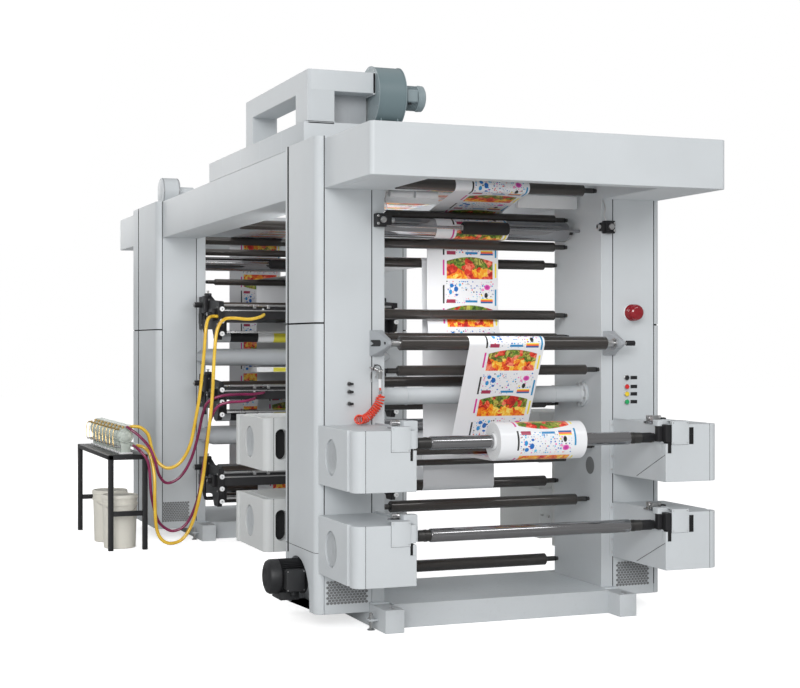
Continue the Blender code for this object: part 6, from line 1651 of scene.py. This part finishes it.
def make_pails():
    """Ink pails: a slightly tapered wall with stiffening rims, a lid and a wire bail lying at its side."""
    x, r = -1.555, 0.145
    wall = ((0.0, -0.022), (0.004, -0.015), (0.352, -0.004), (0.353, 0.0035), (0.358, 0.004), (0.368, 0.0035),
            (0.369, -0.003), (0.405, -0.002), (0.407, 0.005), (0.412, 0.006), (0.432, 0.004), (0.438, 0.001),
            (0.440, -0.006), (0.4395, -0.012), (0.433, -0.014), (0.432, 0.02 - r))
    for k, y in enumerate((4.070, 4.520)):
        pail = Piece("pail")
        pail.turned([(z, r + out) for z, out in wall], "Z", (x, y), 56)
        a = np.radians(np.linspace(-150, -30, 28))
        bail = np.stack((x + r * np.cos(a), y + (r + 0.003) * np.sin(a), 0.395 + 0.10 * np.sin(a)), axis=1)
        pail.tube(bail, 0.002, 8, "zinc")
        pail.make(f"ink_pail_body_{k + 1}", [f"ink_pail_{k + 1}"], "pail")


# Hoses
UPPER_YELLOW_ROUTE = (
    (-1.499, 3.9047, 1.005), (-1.499, 3.885, 1.005), (-1.470, 3.868, 1.010), (-1.415, 3.866, 0.995),
    (-1.359, 3.860, 0.935), (-1.332, 3.845, 0.814), (-1.289, 3.820, 0.716), (-1.210, 3.790, 0.666),
    (-1.110, 3.780, 0.713), (-1.035, 3.760, 0.851), (-0.996, 3.735, 1.056), (-0.961, 3.710, 1.303),
    (-0.935, 3.690, 1.600), (-0.920, 3.690, 1.800), (-0.893, 3.725, 1.888), (-0.850, 3.775, 1.913),
    (-0.815, 3.790, 1.915), (-0.7923, 3.790, 1.915),
)
LOWER_YELLOW_ROUTE = (
    (-1.439, 3.9047, 0.850), (-1.439, 3.885, 0.850), (-1.400, 3.855, 0.838), (-1.352, 3.838, 0.780),
    (-1.325, 3.790, 0.608), (-1.325, 3.770, 0.405), (-1.315, 3.765, 0.200), (-1.277, 3.760, 0.094),
    (-1.198, 3.755, 0.052), (-1.094, 3.750, 0.090), (-1.011, 3.745, 0.235), (-0.945, 3.725, 0.521),
    (-0.905, 3.690, 0.892), (-0.880, 3.640, 1.221), (-0.860, 3.640, 1.593), (-0.835, 3.645, 1.800),
    (-0.780, 3.640, 1.885), (-0.690, 3.650, 1.898), (-0.560, 3.665, 1.890), (-0.460, 3.700, 1.908),
    (-0.410, 3.750, 1.928), (-0.400, 3.780, 1.930), (-0.400, 3.7987, 1.930),
)
UPPER_MAGENTA_ROUTE = (
    (-1.529, 3.9047, 1.005), (-1.529, 3.885, 1.005), (-1.505, 3.845, 0.985), (-1.440, 3.820, 0.930),
    (-1.365, 3.800, 0.840), (-1.318, 3.792, 0.725), (-1.275, 3.832, 0.605), (-1.205, 3.855, 0.538),
    (-1.101, 3.840, 0.585), (-1.017, 3.815, 0.724), (-0.964, 3.780, 0.921), (-0.936, 3.740, 1.094),
    (-0.900, 3.705, 1.203), (-0.811, 3.680, 1.252), (-0.686, 3.670, 1.268), (-0.537, 3.680, 1.268),
    (-0.430, 3.730, 1.275), (-0.400, 3.775, 1.280), (-0.400, 3.7987, 1.280),
)
LOWER_MAGENTA_ROUTE = (
    (-1.474, 3.9047, 0.850), (-1.474, 3.885, 0.850), (-1.440, 3.818, 0.815), (-1.385, 3.790, 0.740),
    (-1.362, 3.800, 0.640), (-1.340, 3.830, 0.440), (-1.290, 3.850, 0.252), (-1.235, 3.840, 0.177),
    (-1.156, 3.830, 0.144), (-1.052, 3.815, 0.199), (-0.967, 3.790, 0.394), (-0.920, 3.760, 0.683),
    (-0.890, 3.730, 0.972), (-0.857, 3.700, 1.110), (-0.810, 3.675, 1.180), (-0.725, 3.655, 1.205),
    (-0.602, 3.655, 1.212), (-0.510, 3.700, 1.228), (-0.476, 3.770, 1.242), (-0.476, 3.7987, 1.242),
)
CURLY_ROUTE = (
    (-0.774, -0.034, 1.3855), (-0.774, -0.034, 1.360), (-0.787, -0.038, 1.327), (-0.820, -0.045, 1.287),
    (-0.855, -0.052, 1.256), (-0.890, -0.062, 1.240), (-0.920, -0.082, 1.239), (-0.938, -0.116, 1.242),
)


def smooth_line(points, count):
    """A smooth curve through points, read off at equal lengths."""
    knots = np.array(points, float)
    knots = np.concatenate((2 * knots[:1] - knots[1:2], knots, 2 * knots[-1:] - knots[-2:-1]))
    p0, p1, p2, p3 = knots[:-3, None], knots[1:-2, None], knots[2:-1, None], knots[3:, None]
    t = np.linspace(0, 1, 24, endpoint=False)[None, :, None]
    fine = 0.5 * (2 * p1 + (p2 - p0) * t + (2 * p0 - 5 * p1 + 4 * p2 - p3) * t**2
                  + (3 * p1 - 3 * p2 + p3 - p0) * t**3)
    fine = np.concatenate((fine.reshape(-1, 3), knots[-2:-1]))
    run = run_of(fine)
    at = np.linspace(0, run[-1], count)
    return np.stack([np.interp(at, run, fine[:, k]) for k in range(3)], axis=1)


def length_of(path):
    """The length of a path."""
    return float(np.linalg.norm(np.diff(path, axis=0), axis=1).sum())


def make_hoses():
    """The four ink hoses, each a round tube along the part's own route."""
    for name, route, radius, tint in (
        ("upper_yellow_hose", UPPER_YELLOW_ROUTE, 0.014, "yellow"),
        ("lower_yellow_hose", LOWER_YELLOW_ROUTE, 0.014, "yellow"),
        ("upper_magenta_hose", UPPER_MAGENTA_ROUTE, 0.012, "magenta"),
        ("lower_magenta_hose", LOWER_MAGENTA_ROUTE, 0.012, "magenta"),
    ):
        length = length_of(smooth_line(route, 400))
        path = smooth_line(route, round(length / 0.016))
        hose = Piece(tint).tube(path, radius, 20, uv=True)
        made = hose.make(name + "_tube", [name], tint + "_hose", smooth=60)


def curly_path():
    """The curly hose's wire: a helix round the route that opens at the top and widens at its last turns."""
    turns, per_turn, coil = 17, 24, 0.0242
    count = turns * per_turn + 1
    spine = smooth_line(CURLY_ROUTE, count)
    ahead = directions(spine)
    side = np.cross(ahead, (0.0, 1.0, 0.35))
    side /= np.linalg.norm(side, axis=1)[:, None]
    other = np.cross(ahead, side)
    a = np.linspace(0, turns * 2 * math.pi, count)[:, None]
    t = np.linspace(0, turns, count)
    open_up = (np.clip(t, 0, 1) * (coil + 0.0015 * np.clip((t - turns + 3) / 2, 0, 1)))[:, None]
    return spine + (side * np.cos(a) + other * np.sin(a)) * open_up


def make_curly_hose():
    """The curly air hose, wound as a real coil of thin tube."""
    path = curly_path()
    made = Piece("coil").tube(path, 0.0042, 10).make("curly_hose_coil", ["curly_air_hose"], "rubber",
                                                     smooth=60)


# Stage
def look_camera(sizes):
    """The camera at the photograph's angle."""
    data = bpy.data.cameras.new("press_camera")
    data.lens, data.sensor_width, data.clip_end = 68.33, 36.0, 80.0
    camera = bpy.data.objects.new("press_camera", data)
    camera.location = tuple(sizes.eye)
    camera.rotation_euler = (math.pi / 2, 0.0, math.radians(-21.14))
    bpy.context.scene.collection.objects.link(camera)
    bpy.context.scene.camera = camera


def soft_lamp(name, place, target, size, power, visible=True):
    """A large square lamp aimed at a point; an unseen one only fills a shaded place."""
    data = bpy.data.lights.new(name, "AREA")
    data.shape, data.size, data.size_y, data.energy = "RECTANGLE", size[0], size[1], power
    lamp = bpy.data.objects.new(name, data)
    lamp.location = place
    lamp.rotation_euler = (Vector(target) - Vector(place)).to_track_quat("-Z", "Y").to_euler()
    lamp.visible_camera = lamp.visible_glossy = visible
    bpy.context.scene.collection.objects.link(lamp)


def floor_finish(shade):
    """A pale floor with soft shadows; to the eye some white is added, so that it meets the sky."""
    made, tree, shader = blank("pale_floor")
    place = node(tree, "TexCoord").outputs["Object"]
    noise = node(tree, "TexNoise", Vector=place, Scale=0.8, Detail=2.0).outputs[0]
    pale = ramp(tree, noise, (0.3, (shade * 0.99,) * 3), (0.7, (shade,) * 3))
    rays = node(tree, "LightPath")
    tree.links.new(blend_colors(tree, rays.outputs["Is Camera Ray"], (0, 0, 0, 1), (0.62, 0.62, 0.62, 1)),
                   shader.inputs["Emission Color"])
    tree.links.new(blend_colors(tree, rays.outputs["Is Glossy Ray"], pale, (0.40, 0.40, 0.40, 1)),
                   shader.inputs["Base Color"])
    shader.inputs["Emission Strength"].default_value = 1.0
    shader.inputs["Roughness"].default_value = 0.9
    return made


def make_world(level):
    """An even pale sky: white to the eye, plain on the object, dimmer in mirrors."""
    world = bpy.data.worlds.new("studio")
    bpy.context.scene.world = world
    world.use_nodes = True
    tree = world.node_tree
    back = tree.nodes["Background"]
    back.inputs["Color"].default_value = (1.0, 1.0, 1.0, 1)
    rays = node(tree, "LightPath")
    dull = plus(tree, level, times(tree, rays.outputs["Is Glossy Ray"], 0.34 - level))
    strength = maths(tree, "MAXIMUM", dull, rays.outputs["Is Camera Ray"])
    tree.links.new(strength, back.inputs["Strength"])


# Add-on
class PressSizes(PropertyGroup):
    """The sizes and colours that a user would change."""

    paint: FloatVectorProperty(name="Paint", description="Colour of the housings", size=3, subtype="COLOR",
                               default=(0.555, 0.585, 0.605), min=0, max=1)
    roller: FloatVectorProperty(name="Rollers", description="Colour of the anodised rollers", size=3,
                                subtype="COLOR",
                                default=(0.046, 0.040, 0.036), min=0, max=1)
    eye: FloatVectorProperty(name="Eye", description="Where the camera stands", size=3, subtype="TRANSLATION",
                             unit="LENGTH", default=(-3.931, -8.524, 1.685))
    floor: FloatProperty(name="Floor", description="How pale the floor is", default=0.90, min=0, max=1,
                         subtype="FACTOR")
    daylight: FloatProperty(name="Daylight", description="Strength of the even light", default=0.50, min=0,
                            max=2)


class PRESS_OT_finishes(Operator):
    """Mix every paint, metal, film and plastic of the press"""

    bl_idname = "press.finishes"
    bl_label = "Finishes"

    def execute(self, context):
        make_finishes(context.scene.press_sizes)
        return {"FINISHED"}


class PRESS_OT_stage(Operator):
    """Set the camera, the floor, the lamps and the sky"""

    bl_idname = "press.stage"
    bl_label = "Stage"

    def execute(self, context):
        sizes = context.scene.press_sizes
        context.scene.view_settings.view_transform = "Standard"
        look_camera(sizes)
        mesh = bpy.data.meshes.new("floor")
        mesh.from_pydata([(-40, -40, 0), (40, -40, 0), (40, 40, 0), (-40, 40, 0)], [], [(0, 1, 2, 3)])
        mesh.materials.append(floor_finish(sizes.floor))
        floor = bpy.data.objects.new("floor", mesh)
        context.scene.collection.objects.link(floor)
        make_world(sizes.daylight)
        soft_lamp("front_lamp", (-10.5, -21.0, 9.0), (0, 1.0, 1.2), (13.0, 9.0), 3000)
        soft_lamp("left_lamp", (-8.0, -4.0, 4.5), (0, 2.0, 1.4), (4.0, 4.0), 40)
        soft_lamp("right_lamp", (3.3, -8.6, 8.8), (0, 0, 1.2), (6.0, 1.5), 140)
        soft_lamp("top_lamp", (0.0, 2.5, 9.0), (0, 2.5, 0), (6.0, 8.0), 80)
        soft_lamp("back_lamp", (-3.0, 12.5, 5.0), (0, 3.5, 1.5), (6.0, 4.0), 200)
        soft_lamp("inner_lamp", (-0.35, -0.12, 2.10), (0.75, 0.22, 0.60), (0.7, 0.25), 4.5, False)
        soft_lamp("passage_lamp", (-0.2, 1.7, 2.40), (-0.85, 3.7, 1.0), (1.0, 0.8), 24, False)
        return {"FINISHED"}


class PRESS_OT_hoses(Operator):
    """Lay the ink hoses and the curly air hose"""

    bl_idname = "press.hoses"
    bl_label = "Hoses"

    def execute(self, context):
        make_hoses()
        make_curly_hose()
        return {"FINISHED"}


class PRESS_OT_columns(Operator):
    """Raise the four column housings"""

    bl_idname = "press.columns"
    bl_label = "Columns"

    def execute(self, context):
        make_columns()
        return {"FINISHED"}


class PRESS_OT_canopies(Operator):
    """Hang the front and rear canopies"""

    bl_idname = "press.canopies"
    bl_label = "Canopies"

    def execute(self, context):
        make_canopies()
        return {"FINISHED"}


class PRESS_OT_overhead(Operator):
    """Place the side beams, hood, duct and blower"""

    bl_idname = "press.overhead"
    bl_label = "Overhead"

    def execute(self, context):
        make_overhead()
        return {"FINISHED"}


class PRESS_OT_bases(Operator):
    """Lay the two floor frames"""

    bl_idname = "press.bases"
    bl_label = "Bases"

    def execute(self, context):
        make_bases()
        return {"FINISHED"}


class PRESS_OT_arms(Operator):
    """Mount the four winding arms"""

    bl_idname = "press.arms"
    bl_label = "Winding Arms"

    def execute(self, context):
        make_arms()
        return {"FINISHED"}


class PRESS_OT_carriers(Operator):
    """Mount the unwinding housings"""

    bl_idname = "press.carriers"
    bl_label = "Unwinding Housings"

    def execute(self, context):
        make_carriers()
        return {"FINISHED"}


class PRESS_OT_rollers(Operator):
    """Turn every roller, the tie tube and the reel bars"""

    bl_idname = "press.rollers"
    bl_label = "Rollers"

    def execute(self, context):
        make_guide_rollers()
        make_drive_drum()
        make_nip()
        make_front_roller()
        make_tie()
        make_reels()
        return {"FINISHED"}


class PRESS_OT_film(Operator):
    """Thread the printed film and wind its roll"""

    bl_idname = "press.film"
    bl_label = "Film"

    def execute(self, context):
        make_film()
        make_roll()
        return {"FINISHED"}


class PRESS_OT_stations(Operator):
    """Fit the three printing stations"""

    bl_idname = "press.stations"
    bl_label = "Printing Stations"

    def execute(self, context):
        make_stations()
        return {"FINISHED"}


class PRESS_OT_drive(Operator):
    """Fit the drive motor and the lamp"""

    bl_idname = "press.drive"
    bl_label = "Motor and Lamp"

    def execute(self, context):
        make_motor()
        make_beacon()
        return {"FINISHED"}


class PRESS_OT_ink(Operator):
    """Set out the ink stand and its pails"""

    bl_idname = "press.ink"
    bl_label = "Ink Stand"

    def execute(self, context):
        make_ink_stand()
        make_pails()
        return {"FINISHED"}


OPERATORS = (
    PRESS_OT_stage, PRESS_OT_finishes, PRESS_OT_hoses, PRESS_OT_columns, PRESS_OT_canopies, PRESS_OT_overhead,
    PRESS_OT_bases, PRESS_OT_arms, PRESS_OT_carriers, PRESS_OT_rollers, PRESS_OT_film, PRESS_OT_stations,
    PRESS_OT_drive, PRESS_OT_ink,
)


class PRESS_PT_panel(Panel):
    """Lists the press's pieces in the sidebar"""

    bl_idname = "PRESS_PT_panel"
    bl_label = "Printing Press"
    bl_space_type = "VIEW_3D"
    bl_region_type = "UI"
    bl_category = "Press"

    def draw(self, context):
        sizes = context.scene.press_sizes
        for key in PressSizes.__annotations__:
            self.layout.prop(sizes, key)
        for one in OPERATORS:
            self.layout.operator(one.bl_idname)


CLASSES = (PressSizes, *OPERATORS, PRESS_PT_panel)


def register():
    for one in CLASSES:
        bpy.utils.register_class(one)
    bpy.types.Scene.press_sizes = PointerProperty(type=PressSizes)


def unregister():
    del bpy.types.Scene.press_sizes
    for one in reversed(CLASSES):
        bpy.utils.unregister_class(one)


def main():
    """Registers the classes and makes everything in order."""
    register()
    for one in OPERATORS:
        getattr(bpy.ops.press, one.bl_idname.split(".")[1])()


if __name__ == "__main__":
    main()
